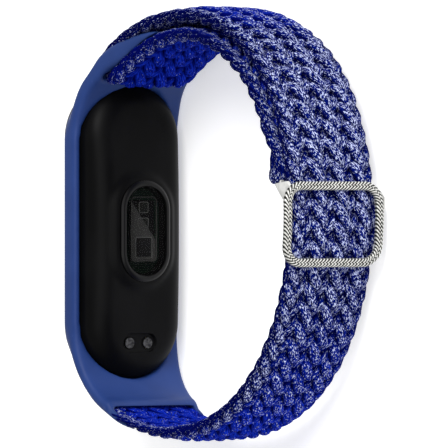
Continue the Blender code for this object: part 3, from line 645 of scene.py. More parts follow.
def strand_points(line, index, start, end, rng):
    """Lengths, centre, face normals, place in the weave, thickness share and painted light of a strand."""
    length = STRANDS * LEAF_PITCH
    s = np.linspace(start, end, int((end - start) / STRAND_STEP) + 1)
    x, y, nx, ny, half, mid_z, thickness, painted_light = line.at(s).T
    phase = 2 * np.pi * (s / length + index / STRANDS)
    apex = LATTICE_HALF_WIDTH * STRANDS / (STRANDS - 1)
    across = (2 / np.pi) * apex * np.arcsin(EDGE_ROUNDING * np.sin(phase))
    heading = np.cos(phase) / np.sqrt(np.cos(phase) ** 2 + TURN_SOFTNESS)
    column = (across + LATTICE_HALF_WIDTH) / (2 * LATTICE_HALF_WIDTH) * COLUMNS
    held = np.clip(column, 0.5, COLUMNS - 0.5)
    wave = np.clip(np.sin(np.pi * held) - LEAF_BIAS, -1.0, 1.0)
    weave = -np.sign(wave) * np.abs(wave) ** LEAF_SHARPNESS
    over = heading * weave * (1.0 + 0.15 * heading)
    knots = np.linspace(start, end, WOBBLE_KNOTS)
    wobble = WOBBLE * np.interp(s, knots, rng.normal(0.0, 1.0, WOBBLE_KNOTS))
    across = across * half / STRAP_HALF_WIDTH + wobble
    share = thickness / STRAP_THICKNESS
    crown = CROWN * share * (1 - (across / half) ** 2)
    height = STRAND_LIFT * thickness * over * (1.0 + wobble) + crown
    centre = np.stack((x + height * nx, y + height * ny, mid_z + across), axis=1)
    normal = np.stack((nx, ny, np.zeros_like(nx)), axis=1)
    # A painted highlight along the strap's +Z edge, its lit side.
    painted_light = np.clip(painted_light + EDGE_PAINTED_LIGHT * (1 - painted_light) * smoothstep(across, *EDGE_PAINTED_LIGHT_BAND), 0.0, 1.0)
    return s, centre, normal, over, share, painted_light


def strand_mesh(line, index, start, end):
    """Vertices, rows, UV, painted light and crest of one strand, a lobed tube of twisted plies."""
    rng = np.random.default_rng(100 + index)
    s, centre, normal, over, share, painted_light = strand_points(line, index, start, end, rng)
    tangent = unit(np.gradient(centre, axis=0))
    length = path_length(centre)
    normal = square_to(tangent, normal)
    aside = np.cross(tangent, normal)
    around = ring_angles(STRAND_SIDES)
    swell = 0.71 + 0.35 * np.abs(over) + 0.25 * (1 - share)
    wide = 0.5 * STRAND_WIDTH * swell
    thick = 0.5 * 0.5 * STRAP_THICKNESS * share * (0.82 + 0.34 * np.abs(over))
    twist = 2 * np.pi * length / PLY_PITCH + index
    lobes = 1 + PLY_DEPTH * np.cos(PLIES * (around[None, :] + twist[:, None]))
    across = wide[:, None] * np.cos(around)[None, :] * lobes
    bulge = np.sign(np.sin(around)) * np.abs(np.sin(around)) ** 0.85
    up = thick[:, None] * bulge[None, :] * lobes
    points = centre[:, None, :] + across[..., None] * aside[:, None, :] + up[..., None] * normal[:, None, :]
    uv = tube_uv(length + 13.7 * index, around * STRAND_WIDTH / 2 + 7.3 * index)
    # The crest paints shade on the strand's flanks and where it dives under another, and more pale yarn on
    # its top.
    crest = np.abs(np.sin(around))[None, :] * (0.3 + 0.7 * np.minimum(1.0, 1.6 * np.abs(over)))[:, None]
    painted_light_values = np.repeat(painted_light[:, None], STRAND_SIDES, axis=1)
    return points.reshape(-1, 3), len(s), uv, crest.ravel(), painted_light_values.ravel()


def core_mesh(line, column, start, end):
    """One elastic core yarn, which runs straight along the strap inside the braid."""
    fine = np.linspace(start, end, int((end - start) / STRAND_STEP) + 1)
    _, _, nx, ny = line.at(fine).T[:4]
    turned = np.concatenate(([0.0], np.cumsum(np.abs(np.diff(np.unwrap(np.arctan2(ny, nx)))))))
    s = np.interp(np.linspace(0, turned[-1], int(turned[-1] / CORE_TURN) + 2), turned, fine)
    x, y, nx, ny, half, mid_z, thickness, _ = line.at(s).T
    across = (2 * column / COLUMNS - 1) * LATTICE_HALF_WIDTH * half / STRAP_HALF_WIDTH
    share = thickness / STRAP_THICKNESS
    crown = CROWN * share * (1 - (across / half) ** 2)
    around = ring_angles(CORE_SIDES)
    up = crown[:, None] + CORE_HALF_THICKNESS * share[:, None] * np.sin(around)[None, :]
    z = (mid_z + across)[:, None] - CORE_HALF_WIDTH * np.cos(around)[None, :]
    points = np.stack((x[:, None] + up * nx[:, None], y[:, None] + up * ny[:, None], z), axis=2)
    uv = tube_uv(s, around * CORE_HALF_WIDTH)
    # No crest and no painted light give the yarn's deep blue: painted shade in the braid's pinholes.
    dark = np.zeros(len(uv))
    return points.reshape(-1, 3), len(s), uv, dark, dark


def braid(name, line, start, end, material):
    """A 2/2 flat braid and its core yarns along a stretch of the line, as one object."""
    points, faces, uv, crest, painted_light_values, base = [], [], [], [], [], 0
    yarns = [strand_mesh(line, index, start, end) for index in range(STRANDS)]
    yarns += [core_mesh(line, column, start, end) for column in np.arange(1, COLUMNS - 0.9, CORE_PITCH)]
    for p, rows, t, c, g in yarns:
        faces += [tuple(base + v for v in face) for face in tube_faces(rows, len(p) // rows)]
        base += len(p)
        points.append(p)
        uv.append(t)
        crest.append(c)
        painted_light_values.append(g)
    obj = make_object(name, np.concatenate(points), faces, material, smooth_angle=0)
    add_uv(obj, np.concatenate(uv))
    # The crest and painted light attributes carry the yarn's painted shade and highlight.
    add_attribute(obj, "crest", np.concatenate(crest))
    add_attribute(obj, "painted_light", np.concatenate(painted_light_values))
    return obj


def make_strap(mat):
    line, fold = strap_line()
    outer = braid("strap_braid_outer", line, 0.0, fold, mat["yarn"])
    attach(outer, "root")
    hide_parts("strap_outer_run")
    inner = braid("strap_braid_inner", line, fold, line.s[-1], mat["yarn"])
    start, _ = on_chain(UPPER_ARCS, 1, STRETCH_ANGLES[1], inner_layer_depth(STRETCH_ANGLES[1]))
    end, _ = on_chain(UPPER_ARCS, 1, STRETCH_ANGLES[0], inner_layer_depth(STRETCH_ANGLES[0]))
    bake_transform(inner)
    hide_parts("strap_inner_run", "strap_stretch_section", "strap_end_loop")


def make_bartack(mat):
    """Zigzag stitches across the end of the loop, on the wrist side."""
    depth = inner_layer_depth(BARTACK_ANGLE) + STRAP_THICKNESS / 2 + 0.12
    radius = BUCKLE_ARC_RADIUS - depth
    count, half_length, half_band = 34, 5.5, 0.62
    t = np.linspace(0, 1, count * 8 + 1)
    zigzag = 2 / np.pi * np.arcsin(0.97 * np.sin(2 * np.pi * count / 2 * t))
    lift = 0.1 * np.cos(2 * np.pi * count * t)
    angle = np.radians(BARTACK_ANGLE) + half_band * zigzag / radius
    spoke = np.stack((np.sin(angle), -np.cos(angle)), axis=1)
    flat = BUCKLE_ARC_CENTRE + (radius + lift)[:, None] * spoke
    centre = np.column_stack((flat, MID_Z + half_length * (2 * t - 1)))
    sides = 8
    points, uv = round_yarn(centre, np.column_stack((spoke, np.zeros(len(t)))), 0.17, sides)
    obj = make_object("bartack_stitches", points, tube_faces(len(t), sides), mat["thread"], 0)
    add_uv(obj, uv)
    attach(obj, "buckle")
    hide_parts("end_bartack")


def make_loop_edges(mat):
    """Yarn wound outwards from the pin in nearly two turns, which closes each open side of the end loop."""
    pin, _ = on_chain(UPPER_ARCS, 1, PIN_ANGLE, inner_layer_depth(PIN_ANGLE))
    sides, steps, turns, lean = 12, 90, 1.9, math.radians(80)
    t = np.linspace(0, 1, steps)
    turn = 2 * np.pi * turns * t
    reach = 0.1 + 0.95 * t
    stretch = 1 + 0.55 * t * np.maximum(np.cos(turn - lean), 0.0)
    for side, word in ((1, "upper"), (-1, "lower")):
        z = INNER_MID_Z + side * (LOOP_HALF_WIDTH + 0.25 - 0.25 * t)
        centre = np.column_stack((pin[0] + reach * stretch * np.cos(turn), pin[1] + reach * np.sin(turn), z))
        points, uv = round_yarn(centre, np.tile((0.0, 0.0, 1.0), (steps, 1)), 0.34, sides)
        edge = make_object(f"loop_edge_{word}", points, tube_faces(steps, sides), mat["yarn"], 0)
        add_uv(edge, uv)
        # Colour of the edge yarn: full painted light and a middling crest.
        add_attribute(edge, "crest", np.full(steps * sides, 0.6))
        add_attribute(edge, "painted_light", np.full(steps * sides, 1.0))
        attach(edge, "buckle")


# ---- cradle ----------------------------------------------------------------

MOULD_VOXEL = 0.26
MOULD_SMOOTHING = 14

# The upper wing is pressed flatter above a depth under the strap's outer face, and eased further in.
# Angles are round the strap's last upper arc, and rise and fall over two ranges.
WING_DROP = 0.9
WING_SLOPE = 0.25
WING_ANGLES = ((92, 108), (128, 150))
WING_EASE = 0.5
WING_EASE_ANGLES = ((124, 131), (140, 152))
WING_EASE_RADII = (28, 33)

# The lower wing's lip on the wrist side, which ends short of the part's.
LIP_ROOT = np.array((-27.05, 19.8))
LIP_TIP = np.array((-29.0, 16.5))
LIP_SIDES = (-1.3, 0.75)
LIP_END = 0.6
LIP_CUT = 1.1


def rise_and_fall(angle, ranges):
    return smoothstep(angle, *ranges[0]) * (1 - smoothstep(angle, *ranges[1]))


def clear_strap_edge(obj):
    """Lowers the upper wing's shoulders under the strap's outer face, where the strap wraps over them."""
    points = read_points(obj)
    centre, radius, _, _ = arc_centres(UPPER_ARCS, 1)[-1]
    away = points[:, :2] - centre
    reach = np.hypot(away[:, 0], away[:, 1])
    angle = np.degrees(np.arctan2(away[:, 0], -away[:, 1]))
    upper = away[:, 0] > 0
    top = radius - WING_DROP
    lowered = np.where(reach > top, top + WING_SLOPE * (reach - top), reach)
    ease = WING_EASE * rise_and_fall(angle, WING_EASE_ANGLES) * upper * smoothstep(reach, *WING_EASE_RADII)
    change = rise_and_fall(angle, WING_ANGLES) * upper * (lowered - reach) - ease
    points[:, :2] = centre + away * (1 + change / np.maximum(reach, 1e-6))[:, None]
    write_points(obj, points)


def shorten_lip(obj):
    """Draws back the lower wing's thin lip on the wrist side, so more of the strap's end shows below it."""
    points = read_points(obj)
    reach = np.linalg.norm(LIP_TIP - LIP_ROOT)
    line = (LIP_TIP - LIP_ROOT) / reach
    away = points[:, :2] - LIP_ROOT
    along = away @ line
    aside = away[:, 0] * line[1] - away[:, 1] * line[0]
    on_lip = (aside > LIP_SIDES[0]) & (aside < LIP_SIDES[1]) & (along > 0) & (along < reach + LIP_END)
    points[:, :2] -= np.where(on_lip, along * LIP_CUT / reach, 0.0)[:, None] * line
    write_points(obj, points)


def make_cradle(mat):
    """The silicone cradle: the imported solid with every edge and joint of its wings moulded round."""
    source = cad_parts["cradle"]
    obj = bpy.data.objects.new("cradle_moulded", source.data.copy())
    bpy.context.scene.collection.objects.link(obj)
    obj.data.materials.clear()
    obj.data.materials.append(mat["silicone"])
    remesh = obj.modifiers.new("mould", "REMESH")
    remesh.mode = "VOXEL"
    remesh.voxel_size = MOULD_VOXEL * MM
    smooth = obj.modifiers.new("round", "SMOOTH")
    smooth.factor = 0.5
    smooth.iterations = MOULD_SMOOTHING
    apply_modifiers(obj)
    clear_strap_edge(obj)
    shorten_lip(obj)
    obj.data.shade_smooth()
    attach(obj, "root")
    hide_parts("cradle")


# ---- capsule ---------------------------------------------------------------

# The sensor's mound, a smooth form of the part's stepped one.
MOUND_HEIGHT = 0.6
MOUND_HALF_WIDTH = 4.85
MOUND_FOOT = 6.4

# Outlines (along, across) of the flat sheets under the sensor's window, from the capsule's middle, and how
# deep they lie: a grey sheet below a diagonal, which paints a reflection on the window, and the photodiode's
# dark face. The part has no solids for them, nor for the printed rims.
REFLECTION_SHEET_OUTLINE = ((4.5, 2.3), (-4.65, 2.3), (-4.65, -2.1), (-1.4, -2.1))
REFLECTION_SHEET_DEPTH = 0.66
DIODE_OUTLINE = ((-1.0, 1.6), (-4.0, 1.6), (-4.0, -1.2), (-1.0, -1.2))
DIODE_DEPTH = 0.62
FILM_THICKNESS = 0.04
RIM_DEPTH = 0.6
RIM_HEIGHT = 0.1


def pill_outline(half_width, straight, end_steps, straight_steps):
    """Points (along, across) of a stadium outline centred on the capsule's axis."""
    points = []
    for side in (1, -1):
        for k in range(end_steps):
            angle = math.radians(90 - 180 * k / end_steps)
            along = straight + half_width * math.cos(angle)
            points.append((side * along, side * half_width * math.sin(angle)))
        for k in range(straight_steps):
            points.append((side * straight * (1 - 2 * k / straight_steps), -side * half_width))
    return np.array(points)


def level_ring(flat, depth, x=CAPSULE_X):
    """A flat outline (along, across) placed at a depth, or at one for each of its points."""
    return np.column_stack((x + flat[:, 0], np.zeros(len(flat)) + depth, MID_Z + flat[:, 1]))


def pill_loft(name, levels, material, straight=PILL_STRAIGHT, lift=None, end_steps=40, straight_steps=48):
    """Rings of stadium outlines (y, half width) skinned from one end to the other and capped."""
    rings = []
    for y, half_width in levels:
        flat = pill_outline(half_width, straight, end_steps, straight_steps)
        rings.append(level_ring(flat, y + (lift(flat, y) if lift else 0.0)))
    sides = len(rings[0])
    faces = tube_faces(len(rings), sides)[:-2]
    tip = end_steps // 2
    for base in (0, (len(rings) - 1) * sides):
        for i in range(tip, tip + sides // 2):
            corners = []
            for k in (i, i + 1, end_steps - i - 1, end_steps - i):
                vertex = base + k % sides
                if vertex not in corners:
                    corners.append(vertex)
            faces.append(tuple(corners))
    return make_object(name, np.concatenate(rings), faces, material)


def capsule_lift(flat, y):
    """The back's curve along its length, and the soft mound that carries the sensor."""
    along, across = flat.T
    fade = np.clip((BOW_END_Y - y) / (BOW_END_Y - BACK_Y), 0.0, 1.0)
    bow = fade * BACK_BOW * (along / BOW_HALF_LENGTH) ** 2
    away = np.hypot(np.maximum(np.abs(along) - SENSOR_STRAIGHT, 0.0), across)
    rise = 1.0 - smoothstep(away, MOUND_HALF_WIDTH, MOUND_FOOT)
    on_back = 1.0 if y < BACK_Y + 0.6 else 0.0
    return bow - on_back * rise * (MOUND_HEIGHT + bow)


def arc_levels(y, half_width, radius, steps):
    """Levels of a rounded back edge, from the middle outwards."""
    levels = []
    for k in range(steps + 1):
        angle = math.radians(90 * k / steps)
        levels.append((y + radius * (1 - math.cos(angle)), half_width - radius * (1 - math.sin(angle))))
    return levels


def make_shell(mat):
    """The capsule's back: a thin cup with a soft shoulder, the sensor's mound and the contacts' recess."""
    back_half = REAR_HALF_WIDTH - SHOULDER_RADIUS
    outside = [(BACK_Y, h) for h in np.linspace(0.15, back_half - 0.3, 16)]
    outside += arc_levels(BACK_Y, REAR_HALF_WIDTH, SHOULDER_RADIUS, 16)
    outside += [
        (FLANGE_Y - 0.15, REAR_HALF_WIDTH), (FLANGE_Y, REAR_HALF_WIDTH + 0.1),
        (FLANGE_Y + 0.2, FLANGE_HALF_WIDTH), (GLASS_SEAT_Y + 0.3, FLANGE_HALF_WIDTH),
        (GLASS_SEAT_Y + 0.5, FLANGE_HALF_WIDTH - 0.15),
    ]
    wall_half = REAR_HALF_WIDTH - SHELL_WALL
    inside = arc_levels(BACK_Y + SHELL_WALL, wall_half, SHOULDER_RADIUS - SHELL_WALL, 6)
    inside = [(GLASS_SEAT_Y + 0.5, wall_half)] + inside[::-1] + [(BACK_Y + SHELL_WALL, 0.3)]
    shell = pill_loft("capsule_back", outside + inside, mat["shell"], lift=capsule_lift)
    hole_half = SENSOR_COLLAR_HALF_WIDTH + 0.15
    cut(shell, pill_loft("hole", ((BACK_Y - 2.0, hole_half), (BACK_Y + 2.0, hole_half)), mat["shell"],
                         straight=SENSOR_STRAIGHT, end_steps=24, straight_steps=4))
    outline = []
    for side in (1, -1):
        for k in range(25):
            angle = math.radians(-90 + 180 * k / 24)
            outline.append((CONTACT_RECESS_HALF * side * math.sin(angle),
                            side * (CONTACT_SPACING / 2 + CONTACT_RECESS_HALF * math.cos(angle))))
    recess = np.array(outline)
    rings = []
    for y, grow in ((CONTACT_FACE_Y + 0.2, 0.94), (BACK_Y + 0.7, 1.0), (BACK_Y - 1.0, 1.12)):
        rings.append(level_ring(grow * recess, y, CONTACT_X))
    cut(shell, make_object("recess", np.concatenate(rings), tube_faces(3, len(recess)), mat["shell"]))
    around = ring_angles(32)
    hole_radius = CONTACT_RADIUS + 0.1
    for side in (1, -1):
        circle = np.column_stack((hole_radius * np.cos(around),
                                  side * CONTACT_SPACING / 2 + hole_radius * np.sin(around)))
        both = np.concatenate([level_ring(circle, BACK_Y + depth, CONTACT_X) for depth in (-1, 3)])
        cut(shell, make_object("contact_hole", both, tube_faces(2, 32), mat["shell"]))
    soften(shell, 0.12)
    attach(shell, "capsule")
    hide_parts("capsule_shell")


def make_front(mat):
    """Curved cover glass."""
    curve = []
    for k in range(13):
        t = k / 12
        curve.append((FRONT_Y - 2.0 * (1 - math.sin(math.pi / 2 * t)) ** 1.15, 8.9 - 4.4 * t ** 1.6))
    levels = [(GLASS_BACK_Y, 8.8), (GLASS_BACK_Y + 0.1, 8.9)] + curve
    levels += [(FRONT_Y, h) for h in (3.0, 1.5, 0.3)]
    glass = pill_loft("cover_glass", levels, mat["cover_glass"])
    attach(glass, "capsule")
    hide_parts("front_glass")


def ring_of_rounded_rectangle(name, centre, half_x, half_z, corner, rim, y, height, material):
    """A thin raised rim round a rounded rectangle on the plane at y; it stands towards the wrist."""
    steps = 6
    outline = []
    for quarter, (sx, sz) in enumerate(((1, 1), (-1, 1), (-1, -1), (1, -1))):
        for k in range(steps + 1):
            angle = math.radians(90 * (quarter + k / steps))
            outline.append((sx * (half_x - corner), sz * (half_z - corner), math.cos(angle),
                            math.sin(angle)))
    rows = []
    for x0, z0, cx, cz in outline:
        for out, up in ((0, 0), (rim, 0), (rim - 0.04, height), (0.04, height)):
            reach = corner - rim + out
            rows.append((centre[0] + x0 + reach * cx, y - up, centre[1] + z0 + reach * cz))
    return make_object(name, rows, tube_faces(len(outline), 4, closed=True), material, 30)


def make_bezel(mat):
    """The raised ring round the sensor's window, and the collar that goes through the back."""
    seat_half = SENSOR_HALF_WIDTH - SENSOR_BEZEL
    base_y = BACK_Y - 0.77
    bezel_levels = [
        (SENSOR_Y + 0.62, seat_half), (SENSOR_Y + 0.02, seat_half), (SENSOR_Y, seat_half + 0.05),
        (SENSOR_Y, SENSOR_HALF_WIDTH - 0.42), (SENSOR_Y + 0.06, SENSOR_HALF_WIDTH - 0.28),
        (base_y - 0.1, SENSOR_HALF_WIDTH), (base_y, SENSOR_HALF_WIDTH),
        (base_y, SENSOR_COLLAR_HALF_WIDTH), (BACK_Y + 0.5, SENSOR_COLLAR_HALF_WIDTH),
        (BACK_Y + 0.5, seat_half - 0.4), (SENSOR_Y + 0.62, seat_half - 0.4),
    ]
    rings = []
    for y, half_width in bezel_levels:
        rings.append(level_ring(pill_outline(half_width, SENSOR_STRAIGHT, 40, 8), y))
    points = np.concatenate(rings)
    bezel = make_object("sensor_ring", points, tube_faces(len(rings), len(rings[0]), closed=True),
                        mat["bezel"], 30)
    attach(bezel, "capsule")
    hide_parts("sensor_bezel")


def make_window(mat):
    """The sensor's window, slightly domed."""
    window_half = SENSOR_HALF_WIDTH - SENSOR_BEZEL - 0.12
    window_levels = [(SENSOR_Y + 0.5, window_half), (SENSOR_Y + 0.24, window_half),
                     (SENSOR_Y + 0.2, window_half - 0.08)]
    for half in (3.0, 2.2, 1.4, 0.7, 0.15):
        window_levels.append((SENSOR_Y + 0.2 - 0.1 * (1 - (half / window_half) ** 2), half))
    window = pill_loft("sensor_lens", window_levels, mat["sensor_glass"], straight=SENSOR_STRAIGHT,
                       straight_steps=8)
    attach(window, "capsule")
    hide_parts("sensor_window")


def make_sensor_prints(mat):
    """The grey sheet that paints a reflection on the window, the photodiode's face and the printed rims that
    show through the window.
    """
    films = (
        # A grey sheet below a diagonal line: a painted reflection on the sensor's window.
        ("painted_lens_reflection", REFLECTION_SHEET_OUTLINE, REFLECTION_SHEET_DEPTH, mat["lens_reflection"]),
        ("photodiode_face", DIODE_OUTLINE, DIODE_DEPTH, mat["diode_face"]),
    )
    for name, outline, depth, material in films:
        points = [(CAPSULE_X + along, SENSOR_Y + y, MID_Z + across)
                  for y in (depth, depth + FILM_THICKNESS) for along, across in outline]
        sheet = make_object(name, points, tube_faces(2, len(outline)), material)
        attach(sheet, "capsule")
    rims = (
        ("rim_sensor_field", (CAPSULE_X + 0.3, MID_Z + 0.13), 5.05, 2.4, 0.7, 0.1),
        ("rim_upper_emitter", (CAPSULE_X + 3.7, MID_Z + 0.2), 0.9, 0.9, 0.3, 0.14),
        ("rim_middle_emitter", (CAPSULE_X + 1.3, MID_Z + 0.3), 0.8, 1.05, 0.35, 0.16),
        ("rim_photodiode", (CAPSULE_X - 2.6, MID_Z + 0.2), 1.72, 1.62, 0.4, 0.2),
    )
    for name, centre, half_x, half_z, corner, width in rims:
        rim = ring_of_rounded_rectangle(name, centre, half_x, half_z, corner, width, SENSOR_Y + RIM_DEPTH,
                                        RIM_HEIGHT, mat["print"])
        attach(rim, "capsule")


# ---- buckle ----------------------------------------------------------------


# The rope finish makes the frame slightly larger and rounder than the part's plain one, and off centre.
FRAME_HALF_HEIGHT = 6.5
FRAME_CORNER = 3.3
FRAME_BAR_WIDTH = 1.36
FRAME_ASIDE = 0.42
ROPE_PITCH = 0.6
ROPE_SLANT = -1.15
ROPE_DEPTH = 0.09
BAR_STEP = 0.07

# Outlines (angle, depth) of an ear's plate beside the strap, and of the lug that joins it to the pin.
EAR_PLATE = ((3.3, -0.5), (6.2, -0.7), (7.8, 0.2), (7.9, 3.2), (7.4, 3.4), (3.6, 1.6))
PIN_DEPTH = inner_layer_depth(PIN_ANGLE)
EAR_LUG = (
    (6.45, 2.45), (PIN_ANGLE + 1.2, 2.45), (PIN_ANGLE + 1.6, PIN_DEPTH),
    (PIN_ANGLE + 1.0, PIN_DEPTH + 0.8), (PIN_ANGLE - 0.8, PIN_DEPTH + 0.8), (6.6, 2.9),
)
# The lower ear is thinner and stands further out than the part's, clear of the braid as the buckle slides.
LOWER_EAR_ASIDE = 1.3
LOWER_EAR_THICKNESS = 0.25
# Known fault: this turn along the strap, in degrees, moves the lower ear's lug off the middle of the pin.
LOWER_EAR_TURN = 2.2


def on_buckle_arc(angle, radius, across):
    spot = BUCKLE_ARC_CENTRE + radius * outward(angle)
    return np.array((spot[0], spot[1], MID_Z + across))


def frame_route():
    """Points (across, up) and unit directions round the middle of the frame's bar."""
    half_width = BUCKLE_HALF_WIDTH - FRAME_BAR_WIDTH / 2
    half_height = FRAME_HALF_HEIGHT - FRAME_BAR_WIDTH / 2
    corner = FRAME_CORNER - FRAME_BAR_WIDTH / 2
    straight_w, straight_h = 2 * (half_width - corner), 2 * (half_height - corner)
    quarter = math.pi / 2 * corner
    lengths = (straight_h, quarter, straight_w, quarter, straight_h, quarter, straight_w, quarter)
    count = round(sum(lengths) / BAR_STEP)
    route = []
    for k in range(count):
        s = sum(lengths) * k / count
        part = 0
        while s > lengths[part]:
            s -= lengths[part]
            part += 1
        side, turning = divmod(part, 2)
        angle = math.pi / 2 * side + (s / corner if turning else 0.0)
        heading = np.array((-math.sin(angle), math.cos(angle)))
        out = np.array((math.cos(angle), math.sin(angle)))
        signs = ((1, 1), (-1, 1), (-1, -1), (1, -1))[side]
        middle = np.array((signs[0] * (half_width - corner), signs[1] * (half_height - corner)))
        if turning:
            point = middle + corner * out
        else:
            point = middle + corner * out - (lengths[part] - s) * heading
        route.append((point, out, sum(lengths) * k / count))
    return route, sum(lengths)


def make_buckle_frame(mat):
    """Slider frame: a bar with the finish of two twisted cords of metal side by side."""
    route, total = frame_route()
    pitch = total / round(total / ROPE_PITCH)
    mid_radius = BUCKLE_ARC_RADIUS + BUCKLE_CLEARANCE + BUCKLE_BAR_DEPTH / 2
    sides = 28
    around = ring_angles(sides) + np.pi / sides
    aside = 0.5 * FRAME_BAR_WIDTH * np.sign(np.cos(around)) * np.abs(np.cos(around)) ** 0.75
    depth = 0.5 * BUCKLE_BAR_DEPTH * np.sign(np.sin(around)) * np.abs(np.sin(around)) ** 0.75
    waist = 1 - 0.3 * np.exp(-(aside / 0.16) ** 2)
    rows, ridges = [], []
    for point, out, s in route:
        slant = ROPE_SLANT * aside
        wave = 0.5 + 0.5 * np.cos(2 * np.pi * (s + slant) / pitch)
        lift = 1 - ROPE_DEPTH * 2 * (1 - wave)
        for a, d, l, w, r in zip(aside, depth, lift, waist, wave):
            flat = point + a * (0.6 + 0.4 * l) * out
            angle = BUCKLE_ANGLE + math.degrees(flat[1] / mid_radius)
            rows.append(on_buckle_arc(angle, mid_radius + d * w * l, flat[0] + FRAME_ASIDE))
            # Ridge values for the frame's colour: painted shade in the twist's grooves and, lower still, in
            # the waist between the two cords.
            ridges.append(r * (0.35 + 0.65 * (w > 0.8)))
    obj = make_object("buckle_rope_frame", rows, tube_faces(len(route), sides, closed=True), mat["rope"], 0)
    add_attribute(obj, "ridge", ridges)
    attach(obj, "buckle")
    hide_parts("buckle_frame")


def make_ears(mat):
    """The two ears that reach from the frame to the pin."""
    lug_low = END_LOOP_HALF_WIDTH + EAR_CLEARANCE
    for side, word, out, thickness, turn in ((1, "upper", 0.0, EAR_THICKNESS, 0.0),
                                             (-1, "lower", LOWER_EAR_ASIDE, LOWER_EAR_THICKNESS,
                                              LOWER_EAR_TURN)):
        low = STRAP_HALF_WIDTH + EAR_CLEARANCE + out
        shapes = (("plate", EAR_PLATE, low, low + thickness), ("lug", EAR_LUG, lug_low, low + 0.1))
        for part, outline, bottom, top in shapes:
            points = [on_buckle_arc(angle - turn, BUCKLE_ARC_RADIUS - depth, side * across)
                      for across in (bottom, top) for angle, depth in outline]
            ear = make_object(f"buckle_ear_{part}_{word}", points, tube_faces(2, len(outline)), mat["ear"])
            soften(ear, 0.14, 3, 20)
            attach(ear, "buckle")


# ---- materials of the pieces -----------------------------------------------


def make_materials():
    plastic = plastic_material
    return {
        # Deep blue for the painted shade between strands, the blue under painted light, the fuller blue in
        # painted shade, and the pale of heather and painted highlight; the last number is how far painted
        # light raises the pale share.
        "yarn": yarn_material("braided_yarn", (0.0002, 0.001, 0.045), (0.001, 0.009, 0.17),
                              (0.007, 0.032, 0.52), (0.50, 0.55, 0.80), 0.19),
        "thread": thread_material("sewing_thread", (0.004, 0.008, 0.08), (0.03, 0.05, 0.3)),
        "silicone": silicone_material("moulded_silicone", (0.013, 0.038, 0.165), (0.017, 0.046, 0.190)),
        "shell": plastic("satin_black_shell", (0.0022, 0.0022, 0.0024), (0.0036, 0.0036, 0.0038),
                         0.42, 0.06),
        "bezel": plastic("gloss_black_bezel", (0.002, 0.002, 0.0022), (0.004, 0.004, 0.0042),
                         0.3, 0.18, 0.1),
        "cover_glass": glass_material("curved_cover_glass", (0.004, 0.004, 0.005), 1.0),
        "sensor_glass": glass_material("smoked_sensor_glass", (0.001, 0.001, 0.0011), 0.36, 0.1, 0.06),
        # Grey of the sheet that paints a reflection on the sensor's window.
        "lens_reflection": plastic("grey_painted_reflection", (0.10, 0.10, 0.095), (0.15, 0.15, 0.142), 0.5, 0.05, 0.0),
        "print": plastic("grey_print", (0.16, 0.16, 0.153), (0.22, 0.22, 0.21), 0.45, 0.05, 0.0),
        "diode_face": plastic("diode_face", (0.02, 0.02, 0.021), (0.034, 0.034, 0.035), 0.5, 0.05, 0.0),
        "rope": rope_metal_material("twisted_plated_metal"),
        "ear": metal_material("brushed_pale_metal", (0.62, 0.62, 0.60), (0.78, 0.78, 0.76), 0.4,
                              metallic=0.3),
    }


def repaint():
    """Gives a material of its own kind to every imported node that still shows."""
    metal, plastic, even = metal_material, plastic_material, (1, 1, 1)
    steel = metal("contact_steel", (0.022, 0.022, 0.023), (0.09, 0.09, 0.092), 0.38, even, 2500.0)
    bright = metal("machined_steel", (0.4, 0.4, 0.41), (0.62, 0.62, 0.63), 0.25)
    gold = metal("gold_plate", (0.6, 0.42, 0.14), (0.85, 0.63, 0.28), 0.22)
    tungsten = metal("sintered_tungsten", (0.2, 0.2, 0.21), (0.33, 0.33, 0.34), 0.4, even)
    battery = metal("battery_foil", (0.4, 0.41, 0.43), (0.58, 0.59, 0.61), 0.35, (1, 6, 1), 500.0)
    board = board_material("board_lacquer", (0.004, 0.03, 0.018), (0.03, 0.12, 0.06))
    flex = board_material("flex_film", (0.35, 0.15, 0.02), (0.6, 0.35, 0.1))
    chip = plastic("chip_resin", (0.01, 0.01, 0.011), (0.02, 0.02, 0.021), 0.5, 0.1, 0.0)
    chassis = plastic("filled_nylon", (0.08, 0.08, 0.09), (0.13, 0.13, 0.14), 0.6)
    adhesive = plastic("foam_adhesive", (0.05, 0.05, 0.05), (0.09, 0.09, 0.09), 0.85)
    display = glass_material("display_stack", (0.01, 0.01, 0.014), 1.0, 0.15)
    led = plastic("emitter_phosphor", (0.030, 0.032, 0.029), (0.045, 0.047, 0.043), 0.5, 0.05, 0.0)
    diode = plastic("photodiode_silicon", (0.02, 0.02, 0.022), (0.03, 0.03, 0.032), 0.5, 0.05, 0.0)
    finishes = (
        (steel, "contact_left contact_right"),
        (bright, "buckle_anchor_pin motor_case motor_lid motor_shaft processor_shield"),
        (gold, "contact_spring_left contact_spring_right antenna_strip"),
        (tungsten, "motor_weight"),
        (battery, "battery_cell"),
        (board, "main_board"),
        (flex, "battery_flex display_flex"),
        (chip, "sensor_board motion_sensor_chip radio_chip light_barrier"),
        (chassis, "inner_frame"),
        (adhesive, "glass_adhesive"),
        (display, "display_panel"),
        (led, "emitter_upper emitter_middle"),
        (diode, "photodiode"),
    )
    for material, names in finishes:
        for name in names.split():
            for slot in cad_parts[name].material_slots:
                slot.material = material


# ---- floor, light and camera -----------------------------------------------

CAMERA_DISTANCE = 1.2
CAMERA_ELEVATION = 35.0
FIELD_WIDTH = 0.0690
AIM_RIGHT = 0.00075


def add_area(name, place, target, size, power):
    light = bpy.data.lights.new(name, "AREA")
    light.shape = "DISK"
    light.size = size
    light.energy = power
    obj = bpy.data.objects.new(name, light)
    obj.location = place
    obj.rotation_mode = "QUATERNION"
    obj.rotation_quaternion = (Vector(target) - Vector(place)).to_track_quat("-Z", "Y")
    bpy.context.scene.collection.objects.link(obj)


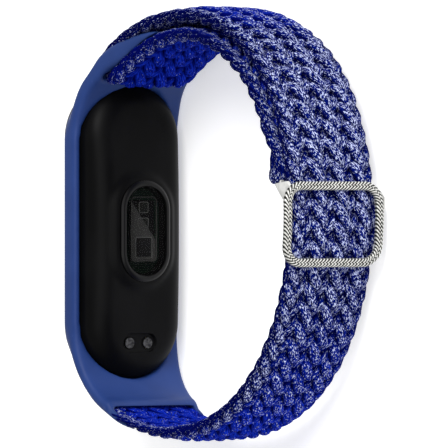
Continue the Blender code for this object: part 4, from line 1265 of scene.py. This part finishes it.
def make_stage():
    """Pale floor with a faint paper grain."""
    half = 1500.0
    n = Nodes("pale_floor")
    grain = n.noise(n.metres(), 60.0, 3.0)
    tone = n.mix(grain, (0.90, 0.90, 0.90), (0.93, 0.93, 0.93))
    paper = n.finish(Base_Color=tone, Roughness=0.9, Specular_IOR_Level=0.1,
                     Emission_Color=(1.0, 1.0, 1.0), Emission_Strength=0.45)
    corners = [(-half, -half, 0), (half, -half, 0), (half, half, 0), (-half, half, 0)]
    floor = make_object("floor", corners, [(0, 1, 2, 3)], paper)


def make_light():
    world = bpy.data.worlds.new("studio")
    bpy.context.scene.world = world
    world.use_nodes = True
    background = world.node_tree.nodes["Background"]
    background.inputs["Color"].default_value = (1.0, 1.0, 1.0, 1.0)
    background.inputs["Strength"].default_value = 0.5
    centre = (0.0, 0.0, 0.01)
    add_area("key", (0.42, -0.35, 0.50), centre, 0.45, 4.2)
    add_area("fill", (-0.05, -0.55, 0.45), centre, 0.6, 1.2)
    bpy.context.scene.view_settings.view_transform = "Standard"


def make_camera():
    tilt = math.radians(CAMERA_ELEVATION)
    look = Vector((0.0, math.cos(tilt), -math.sin(tilt)))
    up = Vector((1.0, 0.0, 0.0))
    right = look.cross(up)
    centre = Vector((0.0, 0.0, MID_Z * MM)) + AIM_RIGHT * right
    data = bpy.data.cameras.new("camera")
    data.sensor_width = 36.0
    data.lens = 36.0 * CAMERA_DISTANCE / FIELD_WIDTH
    data.clip_start = 0.05
    camera = bpy.data.objects.new("camera", data)
    bpy.context.scene.collection.objects.link(camera)
    camera.rotation_mode = "QUATERNION"
    camera.rotation_quaternion = Matrix((right, up, -look)).transposed().to_quaternion()
    camera.location = centre - CAMERA_DISTANCE * look
    bpy.context.scene.camera = camera


def main():
    mat = make_materials()
    make_camera()
    make_light()
    make_stage()
    make_cradle(mat)
    make_strap(mat)
    make_bartack(mat)
    make_loop_edges(mat)
    make_shell(mat)
    make_front(mat)
    make_bezel(mat)
    make_window(mat)
    make_sensor_prints(mat)
    make_buckle_frame(mat)
    make_ears(mat)
    repaint()


main()
